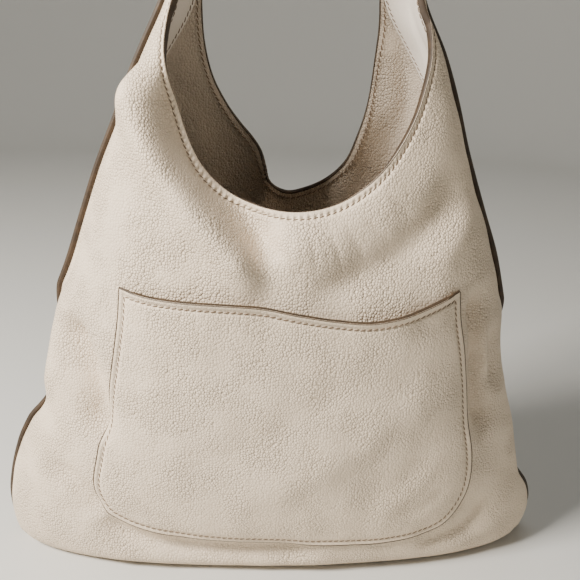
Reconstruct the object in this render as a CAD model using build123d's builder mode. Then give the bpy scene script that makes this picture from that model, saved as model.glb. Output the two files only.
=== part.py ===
"""Soft leather hobo bag: two scooped body panels joined by an edge-painted piping, a front patch
pocket, a shoulder strap that folds at its roots, a lining with a zipped pocket, and a magnetic snap.

Frame: X runs along the bag's width, the front faces -Y, +Z is up, and the origin is on the floor
under the middle of the base. All lengths are in millimetres.
"""

import os
from math import cos, degrees, atan, pi, radians, sin

from build123d import *

# ---------------------------------------------------------------- driving dimensions
# Body stations from the floor up: height, half width at the side seam, half depth, and how square
# the front and the back halves of that level are (2 is an ellipse, more is boxier).
STATIONS = [
    (0, 168, 50, 2.4, 2.4),
    (10, 192, 60, 2.2, 2.2),
    (35, 203, 67, 2.0, 2.0),
    (75, 192, 71, 2.0, 2.0),
    (115, 178, 72, 2.1, 2.1),
    (160, 167, 71, 2.2, 2.2),
    (205, 155, 68, 2.3, 2.3),
    (245, 142, 64, 2.5, 2.4),
    (285, 128, 59, 2.8, 2.6),
    (325, 113, 52, 3.3, 2.8),
    (365, 97, 46, 4.4, 3.2),
    (405, 79, 42, 6.0, 3.8),
]
BODY_TOP = 405
EAR_HEIGHT = 35  # below this the wall curls in under the base
CURVE_STEPS = 12  # spans of each half-section's curve
SHORTEST_LIFT = 4  # the first station above a solid's bottom is at least this far up

LEATHER = 1.8  # outer leather
INNER_LEATHER = 1.2  # facing and lining
SLIP = 0.25  # air between two layers that are glued or sewn together
EDGE = 1.0  # width of a painted edge bead
EDGE_GAP = 0.05  # air between a bead and the layers it finishes

FRONT_MOUTH_RADIUS = 83  # the scoop in the front panel
FRONT_MOUTH_CENTRE = 353
FRONT_MOUTH_TOP = 75
BACK_MOUTH_RADIUS = 62  # the back scoop is narrower and hangs lower
BACK_MOUTH_CENTRE = 323
BACK_MOUTH_TOP = 72
MOUTH_CUT_TOP = 420

PIPING_HALF = 1.3  # half the thickness of the piping
PIPING_PROUD = 2.6

FACING_BOTTOM = 150  # the leather facing ends here and the lining bag starts
STIFFENER_THICKNESS = 2.0
STIFFENER_HALF_WIDTH = 135
STIFFENER_HALF_DEPTH = 38
STIFFENER_CORNER = 24

POCKET_TOP_HALF = 110
POCKET_WIDE_HALF = 130
POCKET_FOOT_HALF = 118
POCKET_TOP = 219
POCKET_TOP_SAG = 16
POCKET_WIDE_AT = 82
POCKET_BOTTOM = 29
POCKET_CORNER = 40
POCKET_GAP = 7.5  # room inside the front pocket
POCKET_SEAM = 5.0  # width of the stitched border, where the pocket meets the panel
POCKET_LEATHER = 1.6
POCKET_LINING = 0.9

PIVOT_HEIGHT = 412  # the strap folds about this line
STRAP_HALF_WIDTH = 34
STRAP_TOP_HALF_WIDTH = 27
STRAP_END_RADIUS = 35.6
LEG_END_RADIUS = 37
STRAP_APEX = 508  # neutral line of the strap at its top
STRAP_TOP_RADIUS = 34
STRAP_TOP_TURN = 59
STRAP_LEG_RADIUS = 900
STRAP_LEG_TURN = 9
STRAP_LINING = (-2.6, -1.4)  # layers of the strap, measured outwards from its neutral line
STRAP_CORE = (-1.3, 0.9)
STRAP_OUTER = (1.0, 2.8)
STRAP_PIPING_TOP = 5.4

SNAP_HEIGHT = 226  # just above the zipped pocket
SNAP_RADIUS = 9
SNAP_PLATE = 1.2
SNAP_SOCKET_THICKNESS = 2.8
SNAP_HOLE_RADIUS = 4.2
SNAP_STUD_RADIUS = 4.0
SNAP_STUD_LENGTH = 1.6
SNAP_SEAT = 0.25  # air behind a snap half, over the curve of the facing

ZIP_HEIGHT = 196
ZIP_FACE = 51  # face of the zipped pocket, measured from the middle of the bag
ZIP_POCKET_HALF = 86
ZIP_POCKET_TOP = 212
ZIP_POCKET_BOTTOM = 104
ZIP_SHEET = 0.9
ZIP_WINDOW_HALF = 74
ZIP_WINDOW_RISE = 4.5
TAPE_HALF_LENGTH = 78
TAPE_PLANE = 52.6
TAPE_THICKNESS = 0.6
TAPE_WIDTH = 6.5
TOOTH_DEPTH = 1.5
TOOTH_HEIGHT = 1.3
TOOTH_LENGTH = 1.5
TOOTH_PITCH = 2.4
TOOTH_ROW_HALF = 72
CHAIN_HALF_GAP = 0.6  # from the middle of the chain to a row of teeth
SLIDER_AT = 66
SLIDER_LENGTH = 9
SLIDER_HALF_HEIGHT = 3.6
SLIDER_PLATE = 0.8
SLIDER_PLAY = 0.1
SLIDER_NECK_HALF = 0.5
BAIL_HALF_LENGTH = 1.7
BAIL_HALF_HEIGHT = 1.2
PULL_PIN_RADIUS = 0.6
PULL_PIN_PLAY = 0.05
PULL_PIVOT_DROP = 1.05  # from the slider's front to the pull's pin
PULL_ARM = 2.4
PULL_ARM_HALF_THICKNESS = 0.5
PULL_ARM_START = 1.4
PULL_HALF_HEIGHT = 3.0
PULL_LENGTH = 22
PULL_TIP_RADIUS = 2.7
BAIL_OVERLAP = 0.2  # how far the bail's foot runs into the slider's front plate

FAR = 400  # longer than anything it cuts


# ---------------------------------------------------------------- shape helpers
def mix(low, high, share):
    return low + (high - low) * share


def station(height):
    """Half width, half depth and the two squarenesses at a height, between the listed stations."""
    for low, high in zip(STATIONS, STATIONS[1:]):
        if height <= high[0]:
            share = (height - low[0]) / (high[0] - low[0])
            return [mix(a, b, share) for a, b in zip(low[1:], high[1:])]
    return list(STATIONS[-1][1:])


def half_section(height, side, grow):
    """One half of the bag's level at a height, as points from +X round to -X. side is -1 for the
    front, and grow moves the wall outwards. An inner wall also rises with the base under it."""
    lift = max(0, -grow) * max(0, 1 - height / EAR_HEIGHT)
    half_width, half_depth, front_square, back_square = station(max(0, height - lift))
    square = front_square if side < 0 else back_square
    points = []
    for step in range(CURVE_STEPS + 1):
        turn = pi * step / CURVE_STEPS
        x_share = abs(cos(turn)) ** (2 / square)
        y_share = abs(sin(turn)) ** (2 / square) if 0 < step < CURVE_STEPS else 0
        x_sign = 1 if 2 * step < CURVE_STEPS else -1
        if 2 * step == CURVE_STEPS:
            x_sign = 0
        points.append((
            x_sign * x_share * (half_width + grow),
            side * y_share * (half_depth + grow),
        ))
    return points


def half_body(side, grow, bottom=0.0, reach=0.0):
    """A solid of one half of the body, grown by grow. reach carries it past the seam plane."""
    levels = [bottom] + [s[0] for s in STATIONS if s[0] > bottom + SHORTEST_LIFT]
    with BuildPart() as body:
        for height in levels:
            points = half_section(height, side, grow)
            with BuildSketch(Plane.XY.offset(height)):
                with BuildLine():
                    Spline(*points)
                    if reach:
                        Polyline(
                            points[-1],
                            (points[-1][0], -side * reach),
                            (points[0][0], -side * reach),
                            points[0],
                        )
                    else:
                        Line(points[-1], points[0])
                make_face()
        loft()
    return body.part


def box_between(low, high):
    """A box from its lowest corner to its highest."""
    size = [b - a for a, b in zip(low, high)]
    middle = [(a + b) / 2 for a, b in zip(low, high)]
    return Pos(*middle) * Box(*size)


def rod(radius, length, middle, turn):
    return Pos(*middle) * turn * Cylinder(radius, length)


def mouth_cutter(side, grow=0.0):
    """The scoop through one half of the bag: a half circle whose sides run on up to the strap."""
    front = side < 0
    radius = (FRONT_MOUTH_RADIUS if front else BACK_MOUTH_RADIUS) + grow
    centre = FRONT_MOUTH_CENTRE if front else BACK_MOUTH_CENTRE
    top_half = (FRONT_MOUTH_TOP if front else BACK_MOUTH_TOP) + grow
    with BuildSketch(Plane.XZ) as face:
        with BuildLine():
            ThreePointArc((-radius, centre), (0, centre - radius), (radius, centre))
            TangentArc((radius, centre), (top_half, MOUTH_CUT_TOP), tangent=(0, 1))
            Line((top_half, MOUTH_CUT_TOP), (-top_half, MOUTH_CUT_TOP))
            TangentArc((-radius, centre), (-top_half, MOUTH_CUT_TOP), tangent=(0, 1))
        make_face()
    return extrude(face.sketch, amount=-side * FAR)


def pocket_prism(inset=0.0):
    """The patch pocket's sides and foot, run through the front of the bag and on up past its top."""
    wide_half = POCKET_WIDE_HALF - inset
    foot_half = POCKET_FOOT_HALF - inset
    side_slope = (POCKET_WIDE_HALF - POCKET_TOP_HALF) / (POCKET_TOP - POCKET_WIDE_AT)
    open_top = POCKET_TOP + POCKET_CORNER
    top_half = wide_half - side_slope * (open_top - POCKET_WIDE_AT)
    with BuildSketch(Plane.XZ) as face:
        with BuildLine():
            Polyline(
                (-top_half, open_top),
                (top_half, open_top),
                (wide_half, POCKET_WIDE_AT),
                (foot_half, POCKET_BOTTOM + inset),
                (-foot_half, POCKET_BOTTOM + inset),
                (-wide_half, POCKET_WIDE_AT),
                (-top_half, open_top),
            )
        make_face()
        fillet(face.vertices().sort_by(Axis.Y)[:2], POCKET_CORNER - inset)
    return extrude(face.sketch, amount=FAR)


def pocket_dip(drop=0.0):
    """A round bar whose underside is the sagging line of the pocket's top, lowered by drop."""
    radius = (POCKET_TOP_HALF**2 + POCKET_TOP_SAG**2) / (2 * POCKET_TOP_SAG)
    centre = POCKET_TOP - POCKET_TOP_SAG + radius
    return rod(radius + drop, 2 * FAR, (0, 0, centre), Rot(90, 0, 0))


def strap_point(turn):
    """A point on the strap's neutral line and the line's outward direction, from the apex round."""
    if turn <= STRAP_TOP_TURN:
        x = STRAP_TOP_RADIUS * sin(radians(turn))
        z = STRAP_APEX - STRAP_TOP_RADIUS * (1 - cos(radians(turn)))
    else:
        x_shift = (STRAP_TOP_RADIUS - STRAP_LEG_RADIUS) * sin(radians(STRAP_TOP_TURN))
        z_shift = (STRAP_TOP_RADIUS - STRAP_LEG_RADIUS) * cos(radians(STRAP_TOP_TURN))
        x = x_shift + STRAP_LEG_RADIUS * sin(radians(turn))
        z = STRAP_APEX - STRAP_TOP_RADIUS + z_shift + STRAP_LEG_RADIUS * cos(radians(turn))
    return x, z, sin(radians(turn)), cos(radians(turn))


def strap_line(turn, out, sign=1):
    """A point out from the neutral line; sign picks the side of the bag."""
    x, z, x_out, z_out = strap_point(turn)
    return sign * (x + out * x_out), z + out * z_out


def strap_slab(inner, outer):
    """The strap seen from the front between two distances from its neutral line, run through Y."""
    end_turn = STRAP_TOP_TURN + STRAP_LEG_TURN
    middle_turn = STRAP_TOP_TURN + STRAP_LEG_TURN / 2
    with BuildSketch(Plane.XZ) as face:
        with BuildLine():
            for out in (inner, outer):
                for sign in (-1, 1):
                    ThreePointArc(
                        strap_line(STRAP_TOP_TURN, out, sign),
                        strap_line(middle_turn, out, sign),
                        strap_line(end_turn, out, sign),
                    )
                ThreePointArc(
                    strap_line(STRAP_TOP_TURN, out, -1),
                    strap_line(0, out),
                    strap_line(STRAP_TOP_TURN, out),
                )
            for sign in (-1, 1):
                Line(strap_line(end_turn, inner, sign), strap_line(end_turn, outer, sign))
        make_face()
    return extrude(face.sketch, amount=FAR / 2, both=True)


def strap_outline(grow):
    """The strap seen from the side: round ends at the fold line, narrowing to the top."""
    low_half = STRAP_HALF_WIDTH + grow
    top_half = STRAP_TOP_HALF_WIDTH + grow
    with BuildSketch(Plane.YZ) as face:
        with Locations((0, PIVOT_HEIGHT)):
            Circle(STRAP_END_RADIUS + grow)
        with BuildLine():
            Polyline(
                (-low_half, PIVOT_HEIGHT),
                (low_half, PIVOT_HEIGHT),
                (top_half, STRAP_APEX + STRAP_PIPING_TOP * 2),
                (-top_half, STRAP_APEX + STRAP_PIPING_TOP * 2),
                (-low_half, PIVOT_HEIGHT),
            )
        make_face()
    return extrude(face.sketch, amount=FAR, both=True)


def leg_trim():
    """The round notch above each leg, in which the strap's end turns."""
    return rod(LEG_END_RADIUS, FAR * 2, (0, 0, PIVOT_HEIGHT), Rot(0, 90, 0))


def snap_place(side):
    """The seat of a snap half on its facing, tilted with the wall; its own Z points into the bag."""
    depth = station(SNAP_HEIGHT)[1]
    below = station(SNAP_HEIGHT - SNAP_RADIUS)[1]
    above = station(SNAP_HEIGHT + SNAP_RADIUS)[1]
    lean = degrees(atan((below - above) / (2 * SNAP_RADIUS)))
    wall = depth - LEATHER - SLIP - INNER_LEATHER - SNAP_SEAT
    return Pos(0, side * wall, SNAP_HEIGHT) * Rot(side * (90 + lean), 0, 0)


os.makedirs("parts", exist_ok=True)

SIDES = ((-1, "front"), (1, "back"))
facing_outside = LEATHER + SLIP
facing_inside = facing_outside + INNER_LEATHER
stiffener_bottom = facing_outside
stiffener_top = stiffener_bottom + STIFFENER_THICKNESS
lining_bottom = stiffener_top + SLIP
everything_low = (-FAR, -FAR, -FAR)
everything_high = (FAR, FAR, 2 * FAR)
trim = leg_trim()
seam_slot = box_between((-FAR, -PIPING_HALF - EDGE_GAP, -FAR), (FAR, PIPING_HALF + EDGE_GAP, 2 * FAR))
seam_slit = box_between((-FAR, -SLIP, -FAR), (FAR, SLIP, 2 * FAR))

# ---------------------------------------------------------------- body panels, facings, lining
for side, end in SIDES:
    leather_outside = half_body(side, 0)
    leather_inside = half_body(side, -LEATHER, LEATHER, reach=5)
    scoop = mouth_cutter(side, EDGE + EDGE_GAP)
    with BuildPart() as panel:
        add(leather_outside)
        add(leather_inside, mode=Mode.SUBTRACT)
        add(scoop, mode=Mode.SUBTRACT)
        add(trim, mode=Mode.SUBTRACT)
        add(seam_slot, mode=Mode.SUBTRACT)
    panel.part.label = f"{end}_panel"
    export_step(panel.part, f"parts/{end}_panel.step")

    inner_outside = half_body(side, -facing_outside, lining_bottom)
    inner_inside = half_body(side, -facing_inside, lining_bottom + INNER_LEATHER, reach=5)
    below_facing = box_between(everything_low, (FAR, FAR, FACING_BOTTOM))
    above_lining = box_between((-FAR, -FAR, FACING_BOTTOM - SLIP), everything_high)
    with BuildPart() as facing:
        add(inner_outside)
        add(inner_inside, mode=Mode.SUBTRACT)
        add(scoop, mode=Mode.SUBTRACT)
        add(trim, mode=Mode.SUBTRACT)
        add(seam_slit, mode=Mode.SUBTRACT)
        add(below_facing, mode=Mode.SUBTRACT)
    facing.part.label = f"{end}_facing"
    export_step(facing.part, f"parts/{end}_facing.step")

    with BuildPart() as lining:
        add(inner_outside)
        add(inner_inside, mode=Mode.SUBTRACT)
        add(seam_slit, mode=Mode.SUBTRACT)
        add(above_lining, mode=Mode.SUBTRACT)
    lining.part.label = f"{end}_lining"
    export_step(lining.part, f"parts/{end}_lining.step")

    stack_inside = half_body(side, -facing_inside, facing_inside, reach=5)
    bead_outside = mouth_cutter(side, EDGE)
    bead_inside = mouth_cutter(side)
    with BuildPart() as rim_edge:
        add(leather_outside)
        add(stack_inside, mode=Mode.SUBTRACT)
        add(bead_outside, mode=Mode.INTERSECT)
        add(bead_inside, mode=Mode.SUBTRACT)
        add(trim, mode=Mode.SUBTRACT)
    rim_edge.part.label = f"{end}_rim_edge"
    export_step(rim_edge.part, f"parts/{end}_rim_edge.step")

# ---------------------------------------------------------------- base stiffener
with BuildPart() as base_stiffener:
    with BuildSketch(Plane.XY.offset(stiffener_bottom)):
        RectangleRounded(2 * STIFFENER_HALF_WIDTH, 2 * STIFFENER_HALF_DEPTH, STIFFENER_CORNER)
    extrude(amount=STIFFENER_THICKNESS)
base_stiffener.part.label = "base_stiffener"
export_step(base_stiffener.part, "parts/base_stiffener.step")

# ---------------------------------------------------------------- body piping
piping_slab = box_between((-FAR, -PIPING_HALF, 0), (FAR, PIPING_HALF, BODY_TOP))
piping_front = half_body(-1, PIPING_PROUD)
piping_back = half_body(1, PIPING_PROUD)
piping_front_core = half_body(-1, -LEATHER, LEATHER, reach=5)
piping_back_core = half_body(1, -LEATHER, LEATHER, reach=5)
with BuildPart() as body_piping:
    add(piping_front)
    add(piping_back)
    add(piping_front_core, mode=Mode.SUBTRACT)
    add(piping_back_core, mode=Mode.SUBTRACT)
    add(piping_slab, mode=Mode.INTERSECT)
    add(trim, mode=Mode.SUBTRACT)
body_piping.part.label = "body_piping"
export_step(body_piping.part, "parts/body_piping.step")

# ---------------------------------------------------------------- front patch pocket
pocket_cavity_out = SLIP + POCKET_GAP
pocket_lining_out = pocket_cavity_out + POCKET_LINING
pocket_leather_in = pocket_lining_out + SLIP
pocket_leather_out = pocket_leather_in + POCKET_LEATHER
pocket_seat = half_body(-1, SLIP, reach=5)
pocket_lining_seat = half_body(-1, pocket_cavity_out, reach=5)
pocket_lining_face = half_body(-1, pocket_lining_out)
pocket_leather_seat = half_body(-1, pocket_leather_in, reach=5)
pocket_leather_face = half_body(-1, pocket_leather_out)
pocket_outline = pocket_prism()
pocket_hollow = pocket_prism(POCKET_SEAM)
pocket_lining_outline = pocket_prism(POCKET_SEAM + SLIP)
pocket_top = pocket_dip()
pocket_leather_top = pocket_dip(EDGE)
pocket_bead_foot = pocket_dip(EDGE - EDGE_GAP)
with BuildPart() as hollow:
    add(pocket_leather_seat)
    add(pocket_hollow, mode=Mode.INTERSECT)
with BuildPart() as front_pocket:
    add(pocket_leather_face)
    add(pocket_seat, mode=Mode.SUBTRACT)
    add(pocket_outline, mode=Mode.INTERSECT)
    add(pocket_leather_top, mode=Mode.SUBTRACT)
    add(hollow.part, mode=Mode.SUBTRACT)
front_pocket.part.label = "front_pocket"
export_step(front_pocket.part, "parts/front_pocket.step")

with BuildPart() as front_pocket_lining:
    add(pocket_lining_face)
    add(pocket_lining_seat, mode=Mode.SUBTRACT)
    add(pocket_lining_outline, mode=Mode.INTERSECT)
    add(pocket_leather_top, mode=Mode.SUBTRACT)
front_pocket_lining.part.label = "front_pocket_lining"
export_step(front_pocket_lining.part, "parts/front_pocket_lining.step")

with BuildPart() as pocket_top_edge:
    add(pocket_leather_face)
    add(pocket_lining_seat, mode=Mode.SUBTRACT)
    add(pocket_outline, mode=Mode.INTERSECT)
    add(pocket_bead_foot, mode=Mode.INTERSECT)
    add(pocket_top, mode=Mode.SUBTRACT)
pocket_top_edge.part.label = "pocket_top_edge"
export_step(pocket_top_edge.part, "parts/pocket_top_edge.step")

# ---------------------------------------------------------------- strap
strap_side = strap_outline(0)
strap_side_full = strap_outline(EDGE)
strap_side_gap = strap_outline(EDGE_GAP)
outer_slab = strap_slab(*STRAP_OUTER)
core_slab = strap_slab(*STRAP_CORE)
lining_slab = strap_slab(*STRAP_LINING)
stack_slab = strap_slab(STRAP_LINING[0], STRAP_OUTER[1])
strap_piping_slab = strap_slab(STRAP_OUTER[0], STRAP_PIPING_TOP)
piping_wide = box_between((-FAR, -PIPING_HALF, -FAR), (FAR, PIPING_HALF, 2 * FAR))

for side, end in SIDES:
    half_space = box_between((-FAR, min(0, side * FAR), -FAR), (FAR, max(0, side * FAR), 2 * FAR))
    with BuildPart() as strap_outer:
        add(outer_slab)
        add(strap_side, mode=Mode.INTERSECT)
        add(half_space, mode=Mode.INTERSECT)
        add(seam_slot, mode=Mode.SUBTRACT)
    strap_outer.part.label = f"strap_outer_{end}"
    export_step(strap_outer.part, f"parts/strap_outer_{end}.step")

    with BuildPart() as strap_edge:
        add(stack_slab)
        add(strap_side_full, mode=Mode.INTERSECT)
        add(strap_side_gap, mode=Mode.SUBTRACT)
        add(half_space, mode=Mode.INTERSECT)
        add(seam_slot, mode=Mode.SUBTRACT)
    strap_edge.part.label = f"strap_edge_{end}"
    export_step(strap_edge.part, f"parts/strap_edge_{end}.step")

for layer, slab in (("core", core_slab), ("lining", lining_slab)):
    with BuildPart() as strap_layer:
        add(slab)
        add(strap_side, mode=Mode.INTERSECT)
    strap_layer.part.label = f"strap_{layer}"
    export_step(strap_layer.part, f"parts/strap_{layer}.step")

with BuildPart() as strap_piping:
    add(strap_piping_slab)
    add(strap_side, mode=Mode.INTERSECT)
    add(piping_wide, mode=Mode.INTERSECT)
strap_piping.part.label = "strap_piping"
export_step(strap_piping.part, "parts/strap_piping.step")

# ---------------------------------------------------------------- magnetic snap
with BuildPart() as snap_socket:
    with BuildSketch():
        Circle(SNAP_RADIUS)
    extrude(amount=SNAP_SOCKET_THICKNESS)
    with BuildSketch(Plane.XY.offset(SNAP_PLATE)):
        Circle(SNAP_HOLE_RADIUS)
    extrude(amount=SNAP_SOCKET_THICKNESS, mode=Mode.SUBTRACT)
socket = snap_place(-1) * snap_socket.part
socket.label = "snap_socket"
export_step(socket, "parts/snap_socket.step")

with BuildPart() as snap_stud:
    with BuildSketch():
        Circle(SNAP_RADIUS)
    extrude(amount=SNAP_PLATE)
    with BuildSketch(Plane.XY.offset(SNAP_PLATE)):
        Circle(SNAP_STUD_RADIUS)
    extrude(amount=SNAP_STUD_LENGTH)
stud = snap_place(1) * snap_stud.part
stud.label = "snap_stud"
export_step(stud, "parts/snap_stud.step")

# ---------------------------------------------------------------- zipped pocket inside the back
zip_back_wall = half_body(1, -facing_inside - SLIP, lining_bottom + INNER_LEATHER)
zip_outer_box = box_between(
    (-ZIP_POCKET_HALF, ZIP_FACE, ZIP_POCKET_BOTTOM), (ZIP_POCKET_HALF, FAR, ZIP_POCKET_TOP)
)
zip_inner_box = box_between(
    (ZIP_SHEET - ZIP_POCKET_HALF, ZIP_FACE + ZIP_SHEET, ZIP_POCKET_BOTTOM + ZIP_SHEET),
    (ZIP_POCKET_HALF - ZIP_SHEET, FAR, ZIP_POCKET_TOP - ZIP_SHEET),
)
zip_window = box_between(
    (-ZIP_WINDOW_HALF, 0, ZIP_HEIGHT - ZIP_WINDOW_RISE),
    (ZIP_WINDOW_HALF, ZIP_FACE + 2 * ZIP_SHEET, ZIP_HEIGHT + ZIP_WINDOW_RISE),
)
with BuildPart() as zip_pocket:
    add(zip_back_wall)
    add(zip_outer_box, mode=Mode.INTERSECT)
    add(zip_inner_box, mode=Mode.SUBTRACT)
    add(zip_window, mode=Mode.SUBTRACT)
zip_pocket.part.label = "zip_pocket"
export_step(zip_pocket.part, "parts/zip_pocket.step")

tape_inner = CHAIN_HALF_GAP + TOOTH_HEIGHT
teeth_per_row = int(2 * TOOTH_ROW_HALF / TOOTH_PITCH) + 1
for sign, row in ((1, "upper"), (-1, "lower")):
    tape_middle = ZIP_HEIGHT + sign * (tape_inner + TAPE_WIDTH / 2)
    with BuildPart() as zip_tape:
        with Locations((0, TAPE_PLANE, tape_middle)):
            Box(2 * TAPE_HALF_LENGTH, TAPE_THICKNESS, TAPE_WIDTH)
    zip_tape.part.label = f"zip_tape_{row}"
    export_step(zip_tape.part, f"parts/zip_tape_{row}.step")

    tooth_middle = ZIP_HEIGHT + sign * (CHAIN_HALF_GAP + TOOTH_HEIGHT / 2)
    rail_middle = ZIP_HEIGHT + sign * (tape_inner - TAPE_THICKNESS / 2)
    with BuildPart() as zip_teeth:
        with Locations((0, TAPE_PLANE, tooth_middle)):
            with GridLocations(TOOTH_PITCH, 0, teeth_per_row, 1):
                Box(TOOTH_LENGTH, TOOTH_DEPTH, TOOTH_HEIGHT)
        with Locations((0, TAPE_PLANE, rail_middle)):
            Box(2 * TOOTH_ROW_HALF, TAPE_THICKNESS, TAPE_THICKNESS)
    zip_teeth.part.label = f"zip_teeth_{row}"
    export_step(zip_teeth.part, f"parts/zip_teeth_{row}.step")

# ---------------------------------------------------------------- zip slider and pull
plate_inner = TOOTH_DEPTH / 2 + SLIDER_PLAY
slider_front = TAPE_PLANE - plate_inner - SLIDER_PLATE
pivot_depth = slider_front - PULL_PIVOT_DROP
pin_hole = rod(
    PULL_PIN_RADIUS + PULL_PIN_PLAY, 4 * BAIL_HALF_HEIGHT, (SLIDER_AT, pivot_depth, ZIP_HEIGHT), Rot(0, 0, 0)
)
with BuildPart() as zip_slider:
    for sign in (-1, 1):
        with Locations((SLIDER_AT, TAPE_PLANE + sign * (plate_inner + SLIDER_PLATE / 2), ZIP_HEIGHT)):
            Box(SLIDER_LENGTH, SLIDER_PLATE, 2 * SLIDER_HALF_HEIGHT)
    with Locations((SLIDER_AT, TAPE_PLANE, ZIP_HEIGHT)):
        Box(SLIDER_LENGTH / 2, 2 * plate_inner + SLIDER_PLATE, 2 * SLIDER_NECK_HALF)
    with Locations((SLIDER_AT, mix(pivot_depth, slider_front, 0.5), ZIP_HEIGHT)):
        Box(2 * BAIL_HALF_LENGTH, slider_front - pivot_depth + BAIL_OVERLAP, 2 * BAIL_HALF_HEIGHT)
    with Locations((SLIDER_AT, pivot_depth, ZIP_HEIGHT)):
        Cylinder(BAIL_HALF_LENGTH, 2 * BAIL_HALF_HEIGHT)
    add(pin_hole, mode=Mode.SUBTRACT)
zip_slider.part.label = "zip_slider"
export_step(zip_slider.part, "parts/zip_slider.step")

arm_height = PULL_HALF_HEIGHT - PULL_ARM_START
with BuildPart() as zip_pull:
    with Locations((SLIDER_AT, pivot_depth, ZIP_HEIGHT)):
        Cylinder(PULL_PIN_RADIUS, 2 * PULL_HALF_HEIGHT)
    for sign in (-1, 1):
        arm_at = ZIP_HEIGHT + sign * (PULL_ARM_START + arm_height / 2)
        with Locations((SLIDER_AT - PULL_ARM / 2, pivot_depth, arm_at)):
            Box(PULL_ARM, 2 * PULL_ARM_HALF_THICKNESS, arm_height)
    with Locations((SLIDER_AT - PULL_ARM - PULL_LENGTH / 2, pivot_depth, ZIP_HEIGHT)):
        Box(PULL_LENGTH, 2 * PULL_ARM_HALF_THICKNESS, 2 * PULL_HALF_HEIGHT)
    tip_edges = zip_pull.edges().filter_by(Axis.Y).group_by(Axis.X)[0]
    fillet(tip_edges, PULL_TIP_RADIUS)
zip_pull.part.label = "zip_pull"
export_step(zip_pull.part, "parts/zip_pull.step")
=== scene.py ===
"""The look of a soft leather hobo bag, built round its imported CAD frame.

Lengths are in millimetres up to the point where a mesh is made. X is to the right, the front faces
-Y and Z is up. Each side of the bag is one ring of leather: its inner edge runs round the mouth and
over the strap's edge, and its outer edge is the seam that runs under the base, up both sides and
along the ridge of the strap.
"""

import bmesh
import bpy
import numpy as np
from mathutils import Matrix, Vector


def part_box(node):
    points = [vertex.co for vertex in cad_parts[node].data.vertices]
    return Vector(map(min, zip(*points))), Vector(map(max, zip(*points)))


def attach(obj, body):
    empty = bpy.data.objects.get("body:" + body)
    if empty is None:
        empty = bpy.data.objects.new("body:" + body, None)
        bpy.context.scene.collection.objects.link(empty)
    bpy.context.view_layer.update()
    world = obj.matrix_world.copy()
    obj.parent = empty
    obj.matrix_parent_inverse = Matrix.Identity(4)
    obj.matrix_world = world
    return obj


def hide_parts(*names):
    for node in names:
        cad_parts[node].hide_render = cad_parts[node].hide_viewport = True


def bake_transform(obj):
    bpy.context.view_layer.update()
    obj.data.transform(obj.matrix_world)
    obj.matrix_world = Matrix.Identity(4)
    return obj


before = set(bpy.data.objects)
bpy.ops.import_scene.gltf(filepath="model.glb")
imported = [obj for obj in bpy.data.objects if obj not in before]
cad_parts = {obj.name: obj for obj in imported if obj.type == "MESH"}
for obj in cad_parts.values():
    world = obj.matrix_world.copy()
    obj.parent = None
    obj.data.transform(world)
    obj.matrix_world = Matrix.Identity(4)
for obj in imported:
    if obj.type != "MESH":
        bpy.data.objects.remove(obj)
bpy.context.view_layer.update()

MM = 0.001
FRONT, BACK = -1, 1

# ---------------------------------------------------------------- sizes taken from the frame
STRAP_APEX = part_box("strap_outer_front")[1].z / MM

# ---------------------------------------------------------------- shape of the body
# Outline of the side seams, height and half width, for the left and the right of the bag.
LEFT_SEAM = [(0, 188), (4, 195), (12, 201), (32, 203.5), (52, 201), (76, 194), (93, 186), (106, 179),
             (120, 175.5), (151, 171), (173, 167.5), (185, 164.5), (198, 159), (218, 151), (251, 140),
             (286, 128), (318, 115), (347, 104), (365, 96), (393, 83), (412, 76), (440, 61), (470, 44)]
RIGHT_SEAM = [(0, 186), (4, 192.5), (11, 198.5), (24, 202), (38, 199), (52, 194), (70, 189.5), (95, 183.5),
              (121, 176), (145, 169), (169, 164), (186, 161), (206, 156), (227, 150), (260, 137),
              (302, 121), (336, 110), (364, 99), (393, 84), (412, 76.5), (440, 61), (470, 44)]
# From the seam under the base, out along the floor and up the wall: half depth and height.
FRONT_PROFILE = [(0, 0), (18, 0), (36, 0), (47, 0.3), (54.5, 2.4), (60, 8), (63.5, 17), (65.5, 30), (68, 50),
                 (70.5, 80), (71.5, 115), (71, 160), (69, 205), (65, 245), (59.5, 280), (53, 325),
                 (46.5, 365), (42, 405), (39.5, 440), (38.5, 470)]
BACK_PROFILE = [(0, 0), (18, 0), (36, 0), (46, 0.3), (54, 2.4), (60, 8), (64, 17), (66.5, 30), (69, 50),
                (71, 80), (71.5, 115), (70, 160), (67, 205), (61, 245), (54, 280), (48.5, 325), (44.5, 365),
                (42, 405), (39.5, 440), (38.5, 470)]
# How boxy a level is, by height: 2 is an ellipse.
FRONT_SQUARE = [(0, 2.3), (20, 2.15), (60, 2.0), (130, 2.1), (205, 2.3), (285, 2.8), (325, 3.3), (365, 4.4),
                (405, 6.0), (470, 8.0)]
BACK_SQUARE = [(0, 2.3), (20, 2.15), (60, 2.0), (130, 2.1), (205, 2.2), (285, 2.4), (325, 2.6), (365, 3.0),
               (405, 3.6), (470, 7.0)]
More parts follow.
